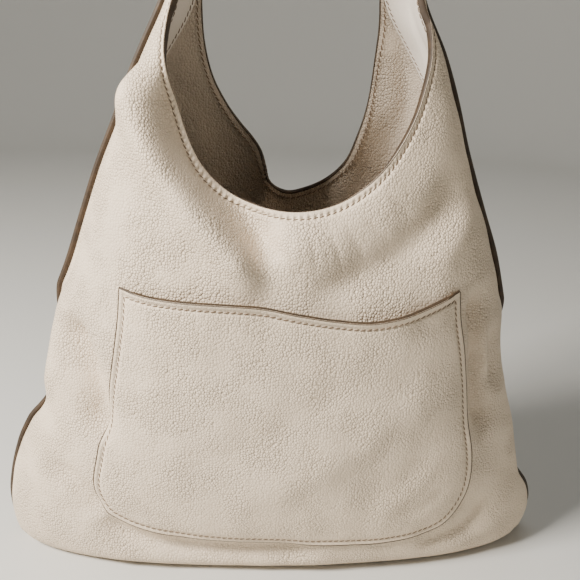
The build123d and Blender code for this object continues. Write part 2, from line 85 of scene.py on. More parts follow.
# Edge of the mouth, from the strap's fold line on the left, down, and up to the right: x and height.
FRONT_RIM = [(-71, 420), (-74.5, 405), (-77, 392), (-80, 375), (-81, 360), (-80, 344), (-76, 329), (-69, 311),
             (-59, 295), (-43, 281), (-21, 272.5), (4, 270), (28, 275.5), (47, 288), (62, 305), (74, 327),
             (81, 349), (83.5, 367), (81.5, 384), (77, 400), (71.5, 420)]
BACK_RIM = [(-62, 420), (-62.5, 405), (-62, 394), (-60, 368), (-54, 344), (-44, 325), (-34, 312), (-24, 301),
            (-17, 291), (-13.5, 281), (-11, 272), (-5, 265.5), (4, 262), (16, 264.5), (31, 272), (45, 286),
            (53, 305), (59, 327), (62, 359), (63, 379), (62.5, 400), (62, 420)]
STRAP_RIDGE = [(61, 440), (47.5, 464), (36, 483), (25.5, 497.5), (13, 507.5), (0, 510.6)]
STRAP_HALF_WIDTH = [(405, 33.5), (440, 32), (475, 29), (511, 27)]
STRAP_CUP = {FRONT: [(405, 5.0), (440, 3.2), (511, 1.2)], BACK: [(405, 14.0), (440, 7.0), (511, 1.2)]}

LEATHER = 1.9
FACING = 1.2
STRAP_LINING = 1.3
PITCH = 4.2
RIM_MARGIN = 4.4


# ---------------------------------------------------------------- curve helpers
def smooth(table):
    """A function through the table's points that doesn't overshoot (monotone cubic)."""
    x, y = np.array(table, float).T
    step = np.diff(x)
    slope = np.diff(y) / step
    tangent = np.zeros(len(x))
    same = slope[:-1] * slope[1:] > 0
    w1, w2 = 2 * step[1:] + step[:-1], step[1:] + 2 * step[:-1]
    inner = np.zeros(len(x) - 2)
    inner[same] = (w1 + w2)[same] / (w1[same] / slope[:-1][same] + w2[same] / slope[1:][same])
    tangent[1:-1] = inner
    tangent[0], tangent[-1] = slope[0], slope[-1]

    def at(values):
        v = np.clip(values, x[0], x[-1])
        i = np.clip(np.searchsorted(x, v, side="right") - 1, 0, len(x) - 2)
        t = (v - x[i]) / step[i]
        t2, t3 = t * t, t * t * t
        return ((2 * t3 - 3 * t2 + 1) * y[i] + (t3 - 2 * t2 + t) * step[i] * tangent[i]
                + (3 * t2 - 2 * t3) * y[i + 1] + (t3 - t2) * step[i] * tangent[i + 1])
    return at


def through(points, per_span=14):
    """A dense line through the points (centripetal Catmull-Rom)."""
    p = np.array(points, float)
    p = np.vstack([2 * p[0] - p[1], p, 2 * p[-1] - p[-2]])
    out = []
    for a, b, c, d in zip(p, p[1:], p[2:], p[3:]):
        t0 = 0.0
        t1 = t0 + max(np.linalg.norm(b - a), 1e-9) ** 0.5
        t2 = t1 + max(np.linalg.norm(c - b), 1e-9) ** 0.5
        t3 = t2 + max(np.linalg.norm(d - c), 1e-9) ** 0.5
        t = np.linspace(t1, t2, per_span, endpoint=False)[:, None]
        a1 = (t1 - t) / (t1 - t0) * a + (t - t0) / (t1 - t0) * b
        a2 = (t2 - t) / (t2 - t1) * b + (t - t1) / (t2 - t1) * c
        a3 = (t3 - t) / (t3 - t2) * c + (t - t2) / (t3 - t2) * d
        b1 = (t2 - t) / (t2 - t0) * a1 + (t - t0) / (t2 - t0) * a2
        b2 = (t3 - t) / (t3 - t1) * a2 + (t - t1) / (t3 - t1) * a3
        out.append((t2 - t) / (t2 - t1) * b1 + (t - t1) / (t2 - t1) * b2)
    return np.vstack(out + [p[-2][None]])


def run_length(line):
    return np.concatenate([[0], np.cumsum(np.linalg.norm(np.diff(line, axis=0), axis=1))])


def along(line, where):
    """Points on a line at these distances from its start."""
    s = run_length(line)
    return np.stack([np.interp(where, s, line[:, k]) for k in range(line.shape[1])], axis=-1)


def evenly(line, count):
    return along(line, np.linspace(0, run_length(line)[-1], count))


def step_up(value, low, high):
    t = np.clip((value - low) / (high - low), 0, 1)
    return t * t * (3 - 2 * t)


def unit(v):
    return v / np.maximum(np.linalg.norm(v, axis=-1, keepdims=True), 1e-12)


left_seam, right_seam = smooth(LEFT_SEAM), smooth(RIGHT_SEAM)
square = {FRONT: smooth(FRONT_SQUARE), BACK: smooth(BACK_SQUARE)}
profile = {side: through(points) for side, points in ((FRONT, FRONT_PROFILE), (BACK, BACK_PROFILE))}
profile_run = {side: run_length(line) for side, line in profile.items()}
strap_half = smooth(STRAP_HALF_WIDTH)
strap_cup = {side: smooth(table) for side, table in STRAP_CUP.items()}


def run_at_height(side, z):
    """How far along the profile a height on the wall is."""
    line, run = profile[side], profile_run[side]
    wall = line[:, 1] > 0.05
    return np.interp(z, line[wall, 1], run[wall])


def body_point(side, turn, run):
    """A point of the leather's outer face: turn goes from the right seam (0) to the left one (pi)."""
    line, length = profile[side], profile_run[side]
    depth = np.interp(run, length, line[:, 0])
    z = np.interp(run, length, line[:, 1])
    half = np.where(turn <= np.pi / 2, right_seam(z), left_seam(z))
    n = square[side](z)
    c, s = np.cos(turn), np.sin(turn)
    x = np.sign(c) * half * np.abs(c) ** (2 / n)
    y = side * depth * np.abs(s) ** (2 / n)
    return np.stack([x, y, z], axis=-1)


def turn_at(side, x, z):
    """The turn at which the outer face passes x at a height."""
    half = np.where(x >= 0, right_seam(z), left_seam(z))
    share = np.clip(np.abs(x) / half, 0, 1) ** (square[side](z) / 2)
    return np.arccos(np.sign(x) * share)


# ---------------------------------------------------------------- folds and dents
def nearest_on(x, z, path):
    """Distance to a path in the front view, the share of its length there, and above 0 on its left."""
    line = through(path, 8)
    s = run_length(line)
    best = np.full(x.shape, 1e9)
    where = np.zeros(x.shape)
    hand = np.zeros(x.shape)
    for a, b, sa, sb in zip(line[:-1], line[1:], s[:-1], s[1:]):
        d = b - a
        length = max(np.hypot(*d), 1e-9)
        t = np.clip(((x - a[0]) * d[0] + (z - a[1]) * d[1]) / length**2, 0, 1)
        dx, dz = x - a[0] - t * d[0], z - a[1] - t * d[1]
        dist = np.hypot(dx, dz)
        near = dist < best
        best = np.where(near, dist, best)
        where = np.where(near, (sa + t * (sb - sa)) / s[-1], where)
        hand = np.where(near, d[0] * dz - d[1] * dx, hand)
    return best, where, hand


def fade_out(where, fade):
    return step_up(where, 0, fade) * (1 - step_up(where, 1 - fade, 1))


def crease(x, z, path, depth, left, right, fade=0.25):
    """A valley along a path, with its own width on either side of the path's direction. A depth below
    0 makes a ridge."""
    distance, where, hand = nearest_on(x, z, path)
    width = np.where(hand > 0, left, right)
    return -depth * fade_out(where, fade) / (1 + (distance / width) ** 2) ** 1.5


def slope(x, z, path, rise, width, fade=0.15):
    """A steep slope along a path: the right of its direction stands out and the left of it is low."""
    distance, where, hand = nearest_on(x, z, path)
    t = -np.sign(hand) * distance / width
    return rise * fade_out(where, fade) * t * np.exp(-t * t / 2)


def dome(x, z, at, size, height):
    return height * np.exp(-((x - at[0]) / size[0]) ** 2 - ((z - at[1]) / size[1]) ** 2)


def ripple(x, z, scale, seed):
    """Slow random unevenness of the hide, about 1 at most."""
    generator = np.random.default_rng(seed)
    total = np.zeros(x.shape)
    for _ in range(9):
        angle, phase = generator.uniform(0, np.pi), generator.uniform(0, 2 * np.pi)
        wave = scale * generator.uniform(0.6, 1.6)
        total += np.sin((x * np.cos(angle) + z * np.sin(angle)) * 2 * np.pi / wave + phase)
    return total / 4.5


FRONT_CREASES = [  # each a path, its depth, its widths on the left and the right, and its fading ends
    # the hollow beside the long fold, and the ridge of the tongue of leather next to it
    ([(-62, 316), (-40, 284), (-22, 256), (-10, 236)], 4.0, 18, 12, 0.25),
    ([(-8, 262), (-3, 244), (0, 226)], -1.8, 8, 8, 0.3),
    # the soft fold on the right of the tongue
    ([(110, 302), (100, 275), (80, 252), (54, 236), (28, 223), (2, 214)], 5.5, 18, 14, 0.25),
    ([(122, 280), (108, 250), (84, 228)], -2.4, 14, 16, 0.35),
    # the dents and folds between the pocket and the side seams
    ([(-152, 194), (-141, 171), (-132, 146), (-127, 124), (-128, 100)], 12.5, 8, 17, 0.2),
    ([(-160, 190), (-165, 150), (-169, 116)], -3.5, 9, 9, 0.3),
    ([(-172, 76), (-154, 71), (-139, 58), (-127, 42)], 6.5, 9, 9, 0.25),
    ([(125, 222), (131, 192), (136, 156), (141, 124), (147, 98)], 11.0, 10, 7, 0.2),
    ([(137, 205), (142, 172), (148, 140)], -3.0, 5, 6, 0.3),
    ([(145, 192), (151, 160), (156, 132)], 5.0, 7, 5, 0.3),
    # the creases under the pocket, above the roll of the base
    ([(-136, 48), (-124, 38), (-108, 29), (-80, 23), (-44, 21.5), (-4, 21.5), (34, 20)], 7.5, 8, 9, 0.16),
    ([(152, 60), (146, 38), (128, 25), (96, 20)], 5.0, 8, 9, 0.25),
    ([(-150, 11), (-80, 9), (0, 8), (90, 10), (150, 13)], -1.8, 8, 8, 0.15)]
LONG_FOLD = [(-87, 366), (-88, 346), (-87, 328), (-79, 307), (-62, 284), (-46, 265), (-29, 247), (-17, 231),
             (-9, 219)]
RIM_WRINKLES = [((20, 262), (34, 232)), ((30, 264), (50, 238)), ((42, 269), (66, 250)),
                ((8, 260), (16, 230)), ((-6, 262), (-2, 238)), ((56, 282), (80, 268))]
BACK_CREASES = [
    ([(-14, 300), (-14, 268), (-17, 235), (-25, 200)], 7.5, 11, 9, 0.2),
    ([(62, 345), (55, 300), (40, 255), (16, 215)], 5.5, 16, 12, 0.25),
    ([(76, 330), (78, 290), (66, 250)], -3.0, 14, 14, 0.35),
    ([(-78, 330), (-67, 285), (-48, 240), (-28, 205)], 4.6, 16, 13, 0.25),
    ([(75, 400), (80, 366), (85, 336), (90, 304)], -2.8, 8, 8, 0.3),
    ([(68, 384), (73, 348), (77, 312)], 2.2, 9, 9, 0.3),
    ([(-148, 200), (-140, 152), (-130, 105)], 6.5, 9, 15, 0.25),
    ([(142, 205), (139, 150), (131, 100)], 6.0, 15, 9, 0.25),
    ([(-104, 150), (-60, 128), (-10, 122), (40, 134)], 3.2, 12, 16, 0.3),
    ([(-130, 40), (-80, 26), (0, 22), (80, 26), (130, 40)], 4.0, 9, 9, 0.2)]


def front_folds(x, z):
    """How far the front panel is pushed out at x and a height, in the front view."""
    out = ripple(x, z, 110, 3) + 0.45 * ripple(x, z, 34, 4)
    # the long fold from the left of the mouth to the middle, with a tongue of leather beside it
    out += slope(x, z, LONG_FOLD, 18.5, 10.5, 0.2) + dome(x, z, (8, 250), (26, 17), 4.2)
    # fine wrinkles below the mouth, each a thin line spreading from the rim
    for start, stop in RIM_WRINKLES:
        middle = ((start[0] + stop[0]) / 2 + 1.5, (start[1] + stop[1]) / 2 - 1.5)
        out += crease(x, z, [start, middle, stop], 0.75, 2.2, 2.6, 0.4)
    return out + sum(crease(x, z, *row) for row in FRONT_CREASES)


def back_folds(x, z):
    """The same for the back panel."""
    return (ripple(x, z, 120, 11) + 0.35 * ripple(x, z, 36, 12)
            + sum(crease(x, z, *row) for row in BACK_CREASES))


SNAP_PLACE = (0, 226)


def round_snap(x, z):
    """How far the folds give way at x and a height, where the snap is riveted through."""
    return 1 - dome(x, z, SNAP_PLACE, (13, 13), 0.8)


def front_push(x, z):
    """The front's folds, held nearly flat round the snap."""
    return front_folds(x, z) * round_snap(x, z)


def back_push(x, z):
    """The back's folds, held nearly flat at the snap and where the zipped pocket is sewn on."""
    beside = 1 - step_up(np.abs(x), 82, 104)
    held = beside * step_up(z, 88, 108) * (1 - step_up(z, 214, 240))
    return back_folds(x, z) * round_snap(x, z) * (1 - 0.92 * held)


folds = {FRONT: front_push, BACK: back_push}


def pinch(x, y, z):
    """How far the hollow along each side seam draws in, where the body swells past it."""
    left = step_up(z, 96, 120) * (1 - step_up(z, 178, 204))
    right = step_up(z, 34, 62) * (1 - step_up(z, 168, 196))
    return 8.0 * np.where(x > 0, right, left) * np.exp(-(y / 13.0) ** 2)


# ---------------------------------------------------------------- the two rings of leather
ROOT_LOW, ROOT_HIGH = 405, 436  # between these heights the wall turns into the strap
SEAM_DRAW_IN = 5.0  # how far the wall draws in beside the side seams
FRONT_LEAN, FRONT_LEAN_WIDTH = 6.5, 24  # how far each rim leans back, and how wide the leaning strip is
BACK_LEAN, BACK_LEAN_WIDTH = 4.5, 22
CHANNEL_DEPTH, CHANNEL_WIDTH = 0.65, 1.2
RIM_ROWS = np.array([0, 0.9, 2.1, 3.3, RIM_MARGIN, 5.5, 6.8, 8.6])
SEAM_ROWS = np.array([7.5, 4.6, 2.6, 1.2, 0.0])
MIDDLE_ROWS = 84
SEAM_STEP = 2.2
RIM_SHARE_POWER = 0.82  # below 1, so the lines from the upper seam land a little further down the rim


def half_ring(side, hand):
    """Chart lines of one half of a ring, from the strap's top to the middle of the base."""
    seam = right_seam if hand > 0 else left_seam
    rim_all = through(FRONT_RIM if side == FRONT else BACK_RIM)
    low = np.argmin(rim_all[:, 1])
    rim = rim_all[: low + 1] if hand < 0 else rim_all[low:][::-1]
    rim = rim[rim[:, 1] < 412]

    ridge = through(STRAP_RIDGE)[::-1]
    z_wall = np.concatenate([np.linspace(438, 60, 190), 60 * (1 - np.linspace(0, 1, 60))[1:]])
    wall = np.stack([seam(z_wall), z_wall], axis=-1)
    count = int((run_length(ridge)[-1] + run_length(wall)[-1]) / SEAM_STEP)
    whole = evenly(np.vstack([ridge, wall]), count)
    base_x = np.linspace(seam(0.0), 0, int(seam(0.0) / SEAM_STEP) + 1)

    seam_z = np.concatenate([whole[:, 1], np.zeros(5), np.zeros(len(base_x) - 1)])
    seam_x = np.concatenate([whole[:, 0], np.full(5, float(seam(0.0))), base_x[1:]])
    run_edge = float(run_at_height(side, 0.4))
    seam_run = np.concatenate([
        run_at_height(side, whole[:, 1]), run_edge * np.linspace(0.9, 0, 5), np.zeros(len(base_x) - 1)])
    seam_turn = np.zeros(len(seam_z))
    squareness = float(square[side](0.0))
    seam_turn[-(len(base_x) - 1):] = np.arccos(np.clip(base_x[1:] / seam(0.0), 0, 1) ** (squareness / 2))

    # how far each seam point is past the top of the mouth's edge, as a share of the rest
    top = rim[0][1]
    line = np.stack([seam_x, seam_z, np.minimum(seam_run, run_edge)], axis=-1)
    run = run_length(line)
    start = np.interp(-top, -seam_z[: len(whole)], run[: len(whole)])
    share = np.clip((run - start) / (run[-1] - start), 0, 1)
    rim_line = along(rim, run_length(rim)[-1] * share**RIM_SHARE_POWER)
    rim_z = np.where(share > 0, rim_line[:, 1], np.minimum(seam_z, 470))
    rim_turn = turn_at(side, rim_line[:, 0], rim_line[:, 1])
    first = np.argmax(share > 0)
    rim_turn[:first] = rim_turn[first]
    if hand < 0:
        seam_turn = np.pi - seam_turn
    return {
        "seam_x": seam_x, "seam_z": seam_z, "seam_run": seam_run, "seam_turn": seam_turn,
        "rim_run": run_at_height(side, rim_z), "rim_turn": rim_turn,
    }


def half_points(side, hand):
    """Points of one half of a ring, rows from the mouth's edge to the seam."""
    chart = half_ring(side, hand)
    v = np.linspace(0, 1, 220)
    turn = chart["rim_turn"][:, None] * (1 - v) + chart["seam_turn"][:, None] * v
    run = chart["rim_run"][:, None] * (1 - v) + chart["seam_run"][:, None] * v
    dense = body_point(side, turn, run)
    steps = np.linalg.norm(np.diff(dense, axis=1), axis=2)
    length = np.concatenate([np.zeros((len(dense), 1)), np.cumsum(steps, axis=1)], axis=1)
    body = np.zeros((len(dense), len(RIM_ROWS) + MIDDLE_ROWS + len(SEAM_ROWS), 3))
    strap = np.zeros_like(body)
    seam_xz = np.stack([chart["seam_x"], chart["seam_z"]], axis=-1)
    tangent = unit(np.gradient(seam_xz, axis=0))
    outward = np.stack([-tangent[:, 1], tangent[:, 0]], axis=-1)
    outward *= np.sign(outward[:, :1] + 1e-9)
    outward[chart["seam_z"] > STRAP_APEX - 1.5] = (0, 1)
    for i in range(len(dense)):
        total = length[i, -1]
        height = chart["seam_z"][i]
        if height > ROOT_LOW - 1:
            width = float(strap_half(height))
            total = width + (total - width) * (1 - step_up(height, ROOT_LOW, ROOT_HIGH))
        middle = np.linspace(RIM_ROWS[-1], total - SEAM_ROWS[0], MIDDLE_ROWS + 2)[1:-1]
        rows = np.concatenate([RIM_ROWS, middle, total - SEAM_ROWS])
        share = rows / total * length[i, -1]
        for k in range(3):
            body[i, :, k] = np.interp(share, length[i], dense[i, :, k])
        if height > ROOT_LOW - 1:
            y = 1 - rows / total
            cup = float(strap_cup[side](height)) * y**2.4
            strap[i, :, 0] = chart["seam_x"][i] - outward[i, 0] * cup
            strap[i, :, 1] = side * y * width
            strap[i, :, 2] = chart["seam_z"][i] - outward[i, 1] * cup
    strap[:, :, 0] *= hand
    weight = step_up(chart["seam_z"], ROOT_LOW, ROOT_HIGH)[:, None, None]
    return body * (1 - weight) + strap * weight


def ring(side):
    """The outer face of one side of the bag, closed round the mouth and the strap."""
    right = half_points(side, 1)
    left = half_points(side, -1)
    return np.concatenate([right[:-1], left[::-1][:-1]], axis=0)


def normals_of(points, side, closed=True):
    if closed:
        du = np.roll(points, -1, axis=0) - np.roll(points, 1, axis=0)
    else:
        du = np.gradient(points, axis=0)
    dv = np.gradient(points, axis=1)
    n = unit(np.cross(du, dv))
    return n * (1 if side == FRONT else -1)


def shaped_ring(side):
    """The ring with its folds, the hollows beside the side seams and the mouth's rolled edge."""
    points = ring(side)
    normals = normals_of(points, side)
    x, y, z = points[..., 0], points[..., 1], points[..., 2]
    run = np.concatenate([np.zeros((len(points), 1)),
                          np.cumsum(np.linalg.norm(np.diff(points, axis=1), axis=2), axis=1)], axis=1)
    from_rim = run
    from_seam = run[:, -1:] - run
    body_share = 1 - step_up(z, 335, 425)
    floor_share = step_up(z, 0.5, 12)
    seam_share = step_up(from_seam, 3, 30 + 18 * step_up(z, 270, 320))
    push = folds[side](x, z) * body_share * floor_share * seam_share
    shaped = points + normals * push[..., None]
    shaped[..., 0] -= np.sign(x) * pinch(x, y, z)
    # the wall draws in beside the side seams above the hollow, so the seam stands out as a ridge
    upper = step_up(z, 190, 225) * (1 - step_up(z, 380, 412))
    beside = step_up(from_seam, 0, 13) * (1 - step_up(from_seam, 16, 58))
    shaped -= normals * (SEAM_DRAW_IN * upper * beside)[..., None]
    # the front's edge rolls back along the foot and the left of the mouth, and the back's leans in
    if side == FRONT:
        roll = (1 - step_up(x, 22, 64)) * step_up(x, -96, -74) * (1 - step_up(z, 330, 372))
        lean = FRONT_LEAN * roll * np.clip(1 - from_rim / FRONT_LEAN_WIDTH, 0, 1) ** 2
    else:
        lean = BACK_LEAN * np.clip(1 - from_rim / BACK_LEAN_WIDTH, 0, 1) ** 2 * (1 - step_up(z, 285, 335))
    shaped -= normals * lean[..., None]
    # the stitched margin is pressed flat: a shallow channel under the thread
    channel = CHANNEL_DEPTH * np.exp(-((from_rim - RIM_MARGIN) / CHANNEL_WIDTH) ** 2)
    shaped -= normals_of(shaped, side) * channel[..., None]
    return shaped, from_rim, from_seam


# ---------------------------------------------------------------- mesh makers
def mesh_object(name, points, faces, material, smooth_faces=True, floats=None):
    mesh = bpy.data.meshes.new(name)
    points = np.asarray(points, float).reshape(-1, 3)
    mesh.from_pydata((points * MM).tolist(), [], faces)
    mesh.update()
    obj = bpy.data.objects.new(name, mesh)
    bpy.context.scene.collection.objects.link(obj)
    for m in material if isinstance(material, (list, tuple)) else [material]:
        mesh.materials.append(m)
    if smooth_faces:
        mesh.polygons.foreach_set("use_smooth", [True] * len(mesh.polygons))
    rest = mesh.attributes.new("rest", "FLOAT_VECTOR", "POINT")
    rest.data.foreach_set("vector", (points * MM).ravel())
    for key, values in (floats or {}).items():
        attribute = mesh.attributes.new(key, "FLOAT", "POINT")
        attribute.data.foreach_set("value", np.asarray(values, np.float32).ravel())
    return obj


def grid_faces(rows, columns, closed, start=0, flip=False):
    faces = []
    for i in range(rows if closed else rows - 1):
        a, b = i * columns, ((i + 1) % rows) * columns
        for j in range(columns - 1):
            quad = (start + a + j, start + b + j, start + b + j + 1, start + a + j + 1)
            faces.append(quad[::-1] if flip else quad)
    return faces


def grid_object(name, grid, material, closed=False, flip=False, floats=None):
    rows, columns = grid.shape[:2]
    return mesh_object(name, grid, grid_faces(rows, columns, closed, 0, flip), material, floats=floats)


def slab_object(name, face, back, material, closed=False, flip=False, floats=None):
    """A sheet with two faces, closed along its borders."""
    rows, columns = face.shape[:2]
    size = rows * columns
    faces = grid_faces(rows, columns, closed, 0, flip) + grid_faces(rows, columns, closed, size, not flip)
    edges = []
    for i in range(rows if closed else rows - 1):
        a, b = i * columns, ((i + 1) % rows) * columns
        edges.append((a, a + size, b + size, b))
        edges.append((a + columns - 1, b + columns - 1, b + columns - 1 + size, a + columns - 1 + size))
    if not closed:
        for j in range(columns - 1):
            edges.append((j, j + 1, j + 1 + size, j + size))
            k = (rows - 1) * columns + j
            edges.append((k, k + size, k + 1 + size, k + 1))
    faces += [e[::-1] for e in edges] if flip else edges
    both = {k: np.concatenate([np.ravel(v), np.ravel(v)]) for k, v in (floats or {}).items()}
    return mesh_object(name, np.concatenate([face.reshape(-1, 3), back.reshape(-1, 3)]), faces, material,
                       floats=both)


def stitches(name, line, normals, material, pitch=PITCH, closed=False, slant=0.26, length=0.92,
             radius=0.38):
    """Thread stitches along a line on a surface, each dipping into its needle hole at both ends."""
    run = run_length(np.vstack([line, line[:1]]) if closed else line)
    whole = np.vstack([line, line[:1]]) if closed else line
    norms = np.vstack([normals, normals[:1]]) if closed else normals
    count = max(int(round(run[-1] / pitch)), 1)
    step = run[-1] / count
    bead = np.array([-0.5, -0.42, -0.2, 0.0, 0.2, 0.42, 0.5])
    lift = np.array([-0.75, -0.1, 0.42, 0.5, 0.42, -0.1, -0.75])
    fat = np.array([0.5, 0.9, 1.0, 1.0, 1.0, 0.9, 0.5])
    sides = 6
    angle = np.linspace(0, 2 * np.pi, sides, endpoint=False)
    verts, faces = [], []
    for k in range(count):
        middle = (k + 0.5) * step
        where = middle + bead * step * length
        p = np.stack([np.interp(where, run, whole[:, c]) for c in range(3)], axis=-1)
        n = unit(np.stack([np.interp(where, run, norms[:, c]) for c in range(3)], axis=-1))
        t = unit(p[-1] - p[0])
        side = np.cross(n, t)
        p = p + side * (bead * step * slant)[:, None] + n * (lift * radius)[:, None]
        start = len(verts)
        for a in range(len(bead)):
            for w in angle:
                verts.append(p[a] + radius * fat[a] * (np.cos(w) * side[a] + np.sin(w) * n[a]))
        for a in range(len(bead) - 1):
            for w in range(sides):
                b = (w + 1) % sides
                faces.append((start + a * sides + w, start + a * sides + b,
                              start + (a + 1) * sides + b, start + (a + 1) * sides + w))
        faces.append(tuple(start + w for w in range(sides))[::-1])
        faces.append(tuple(start + (len(bead) - 1) * sides + w for w in range(sides)))
    return mesh_object(name, np.array(verts), faces, material)


# ---------------------------------------------------------------- materials
def node_material(name):
    material = bpy.data.materials.new(name)
    material.use_nodes = True
    tree = material.node_tree
    shader = tree.nodes["Principled BSDF"]
    return material, tree, shader


def new(tree, kind, **settings):
    node = tree.nodes.new(kind)
    for key, value in settings.items():
        if key.startswith("in_"):
            node.inputs[key[3:].replace("_", " ")].default_value = value
        else:
            setattr(node, key, value)
    return node


def math_node(tree, operation, a, b=None, c=None):
    """One sum on sockets or plain numbers."""
    node = tree.nodes.new("ShaderNodeMath")
    node.operation = operation
    for socket, value in zip(node.inputs, (a, b, c)):
        if value is None:
            continue
        if isinstance(value, (int, float)):
            socket.default_value = value
        else:
            tree.links.new(value, socket)
    return node.outputs[0]


def ramp(tree, value, low, high, out_low=0.0, out_high=1.0):
    node = new(tree, "ShaderNodeMapRange", interpolation_type="SMOOTHSTEP")
    tree.links.new(value, node.inputs["Value"])
    for key, number in (("From Min", low), ("From Max", high), ("To Min", out_low), ("To Max", out_high)):
        node.inputs[key].default_value = number
    return node.outputs["Result"]


def rest_place(tree):
    """The point's place on the bag at rest, so that a pattern stays put when a piece bends."""
    return new(tree, "ShaderNodeAttribute", attribute_name="rest").outputs["Vector"]


def pattern(tree, kind, where, **settings):
    """A procedural texture laid out over places on the bag."""
    node = new(tree, kind, **settings)
    tree.links.new(where, node.inputs["Vector"])
    return node


def add_bump(tree, shader, height, strength, distance):
    bump = new(tree, "ShaderNodeBump", in_Strength=strength, in_Distance=distance)
    tree.links.new(height, bump.inputs["Height"])
    tree.links.new(bump.outputs["Normal"], shader.inputs["Normal"])


def mix_colour(tree, share, a, b):
    node = new(tree, "ShaderNodeMix", data_type="RGBA")
    for socket, value in ((node.inputs["Factor"], share), (node.inputs["A"], a), (node.inputs["B"], b)):
        if isinstance(value, (int, float)):
            socket.default_value = value
        elif isinstance(value, (tuple, list)):
            socket.default_value = (*value, 1.0)
        else:
            tree.links.new(value, socket)
    return node.outputs["Result"]


def times(colour, shares):
    """A colour with each part multiplied, up to 1."""
    return tuple(min(1.0, c * f) for c, f in zip(colour, shares))


def leather_material(name, colour, pebble=1.0, roughness=0.5, cell=1.85, margin=False):
    """Grained leather: raised cells between fine creases darkened with painted shade, finer pores, a slow
    drift of colour, and along a stitched edge (where the mesh carries its distance) a flatter, slightly worn
    margin."""
    material, tree, shader = node_material(name)
    rest = rest_place(tree)
    wobble = pattern(tree, "ShaderNodeTexNoise", rest, in_Scale=160.0, in_Detail=2.0)
    bent = new(tree, "ShaderNodeVectorMath", operation="MULTIPLY_ADD")
    tree.links.new(wobble.outputs["Color"], bent.inputs[0])
    bent.inputs[1].default_value = (0.0016, 0.0016, 0.0016)
    tree.links.new(rest, bent.inputs[2])
    cells, tops = (pattern(tree, "ShaderNodeTexVoronoi", bent.outputs[0], feature=feature,
                           in_Scale=1000.0 / cell, in_Randomness=0.78)
                   for feature in ("DISTANCE_TO_EDGE", "F1"))
    fall = math_node(tree, "MULTIPLY", math_node(tree, "POWER", tops.outputs["Distance"], 2.0), -1.6)
    dome_height = math_node(tree, "ADD", fall, math_node(
        tree, "MULTIPLY", ramp(tree, cells.outputs["Distance"], 0.0, 0.16), 0.45))
    size = pattern(tree, "ShaderNodeTexNoise", rest, in_Scale=38.0, in_Detail=3.0)
    strength = ramp(tree, size.outputs["Fac"], 0.34, 0.64, 0.35, 1.05)
    pores = pattern(tree, "ShaderNodeTexNoise", rest, in_Scale=1400.0, in_Detail=2.0)
    height = math_node(tree, "MULTIPLY", dome_height, strength)
    height = math_node(tree, "ADD", height, math_node(tree, "MULTIPLY", pores.outputs["Fac"], 0.22))
    if margin:
        from_rim = new(tree, "ShaderNodeAttribute", attribute_name="from_rim").outputs["Fac"]
        flat = ramp(tree, from_rim, RIM_MARGIN * 0.8, RIM_MARGIN * 1.9, 0.3, 1.0)
        height = math_node(tree, "MULTIPLY", height, flat)
        along_rim = new(tree, "ShaderNodeAttribute", attribute_name="along_rim").outputs["Fac"]
        wave = math_node(tree, "COSINE", math_node(tree, "MULTIPLY", along_rim, 2 * np.pi / PITCH))
        near = math_node(tree, "DIVIDE", math_node(tree, "SUBTRACT", from_rim, RIM_MARGIN - 0.5), 1.5)
        bell = math_node(tree, "POWER", 2.718, math_node(tree, "MULTIPLY", math_node(
            tree, "MULTIPLY", near, near), -1.0))
        pucker = math_node(tree, "MULTIPLY", math_node(tree, "MULTIPLY_ADD", wave, 0.45, 0.55), bell)
        height = math_node(tree, "SUBTRACT", height, math_node(tree, "MULTIPLY", pucker, 1.7))
    add_bump(tree, shader, height, 1.0, 0.00062 * pebble)
    drift = pattern(tree, "ShaderNodeTexNoise", rest, in_Scale=9.0, in_Detail=4.0)
    worn, crease_shade_colour = times(colour, (1.06, 1.055, 1.04)), times(colour, (0.80, 0.77, 0.72))
    base = mix_colour(tree, ramp(tree, drift.outputs["Fac"], 0.35, 0.68), colour, worn)
    # painted shade: the colour darkens in the creases between the grain's cells
    crease_shade_share = ramp(tree, cells.outputs["Distance"], 0.0, 0.12, 0.55 * pebble, 0.0)
    base = mix_colour(tree, crease_shade_share, base, crease_shade_colour)
    tree.links.new(base, shader.inputs["Base Color"])
    rough = ramp(tree, cells.outputs["Distance"], 0.02, 0.3, roughness + 0.14, roughness)
    tree.links.new(rough, shader.inputs["Roughness"])
    shader.inputs["Specular IOR Level"].default_value = 0.42
    shader.inputs["Subsurface Weight"].default_value = 0.0
    return material


def paint_material(name, colour, roughness=0.42):
    """Edge paint on raw leather: satin, with small brush unevenness and rubbed places."""
    material, tree, shader = node_material(name)
    rest = rest_place(tree)
    patches = pattern(tree, "ShaderNodeTexNoise", rest, in_Scale=140.0, in_Detail=3.0)
    base = mix_colour(tree, ramp(tree, patches.outputs["Fac"], 0.4, 0.66), times(colour, [0.62] * 3), colour)
    tree.links.new(base, shader.inputs["Base Color"])
    fine = pattern(tree, "ShaderNodeTexNoise", rest, in_Scale=900.0, in_Detail=2.0)
    add_bump(tree, shader, fine.outputs["Fac"], 0.5, 0.0002)
    shader.inputs["Roughness"].default_value = roughness
    return material


def thread_material(name, colour):
    material, tree, shader = node_material(name)
    twist = pattern(tree, "ShaderNodeTexWave", rest_place(tree), bands_direction="DIAGONAL", in_Scale=620.0,
                    in_Distortion=2.0)
    base = mix_colour(tree, twist.outputs["Fac"], times(colour, [0.6] * 3), colour)
    tree.links.new(base, shader.inputs["Base Color"])
    shader.inputs["Roughness"].default_value = 0.75
    return material


def cloth_material(name, colour):
    """Fine twill."""
    material, tree, shader = node_material(name)
    weave = pattern(tree, "ShaderNodeTexWave", rest_place(tree), bands_direction="DIAGONAL", in_Scale=420.0,
                    in_Distortion=0.6)
    base = mix_colour(tree, weave.outputs["Fac"], times(colour, [0.78] * 3), colour)
    tree.links.new(base, shader.inputs["Base Color"])
    add_bump(tree, shader, weave.outputs["Fac"], 0.4, 0.0002)
    shader.inputs["Roughness"].default_value = 0.9
    return material


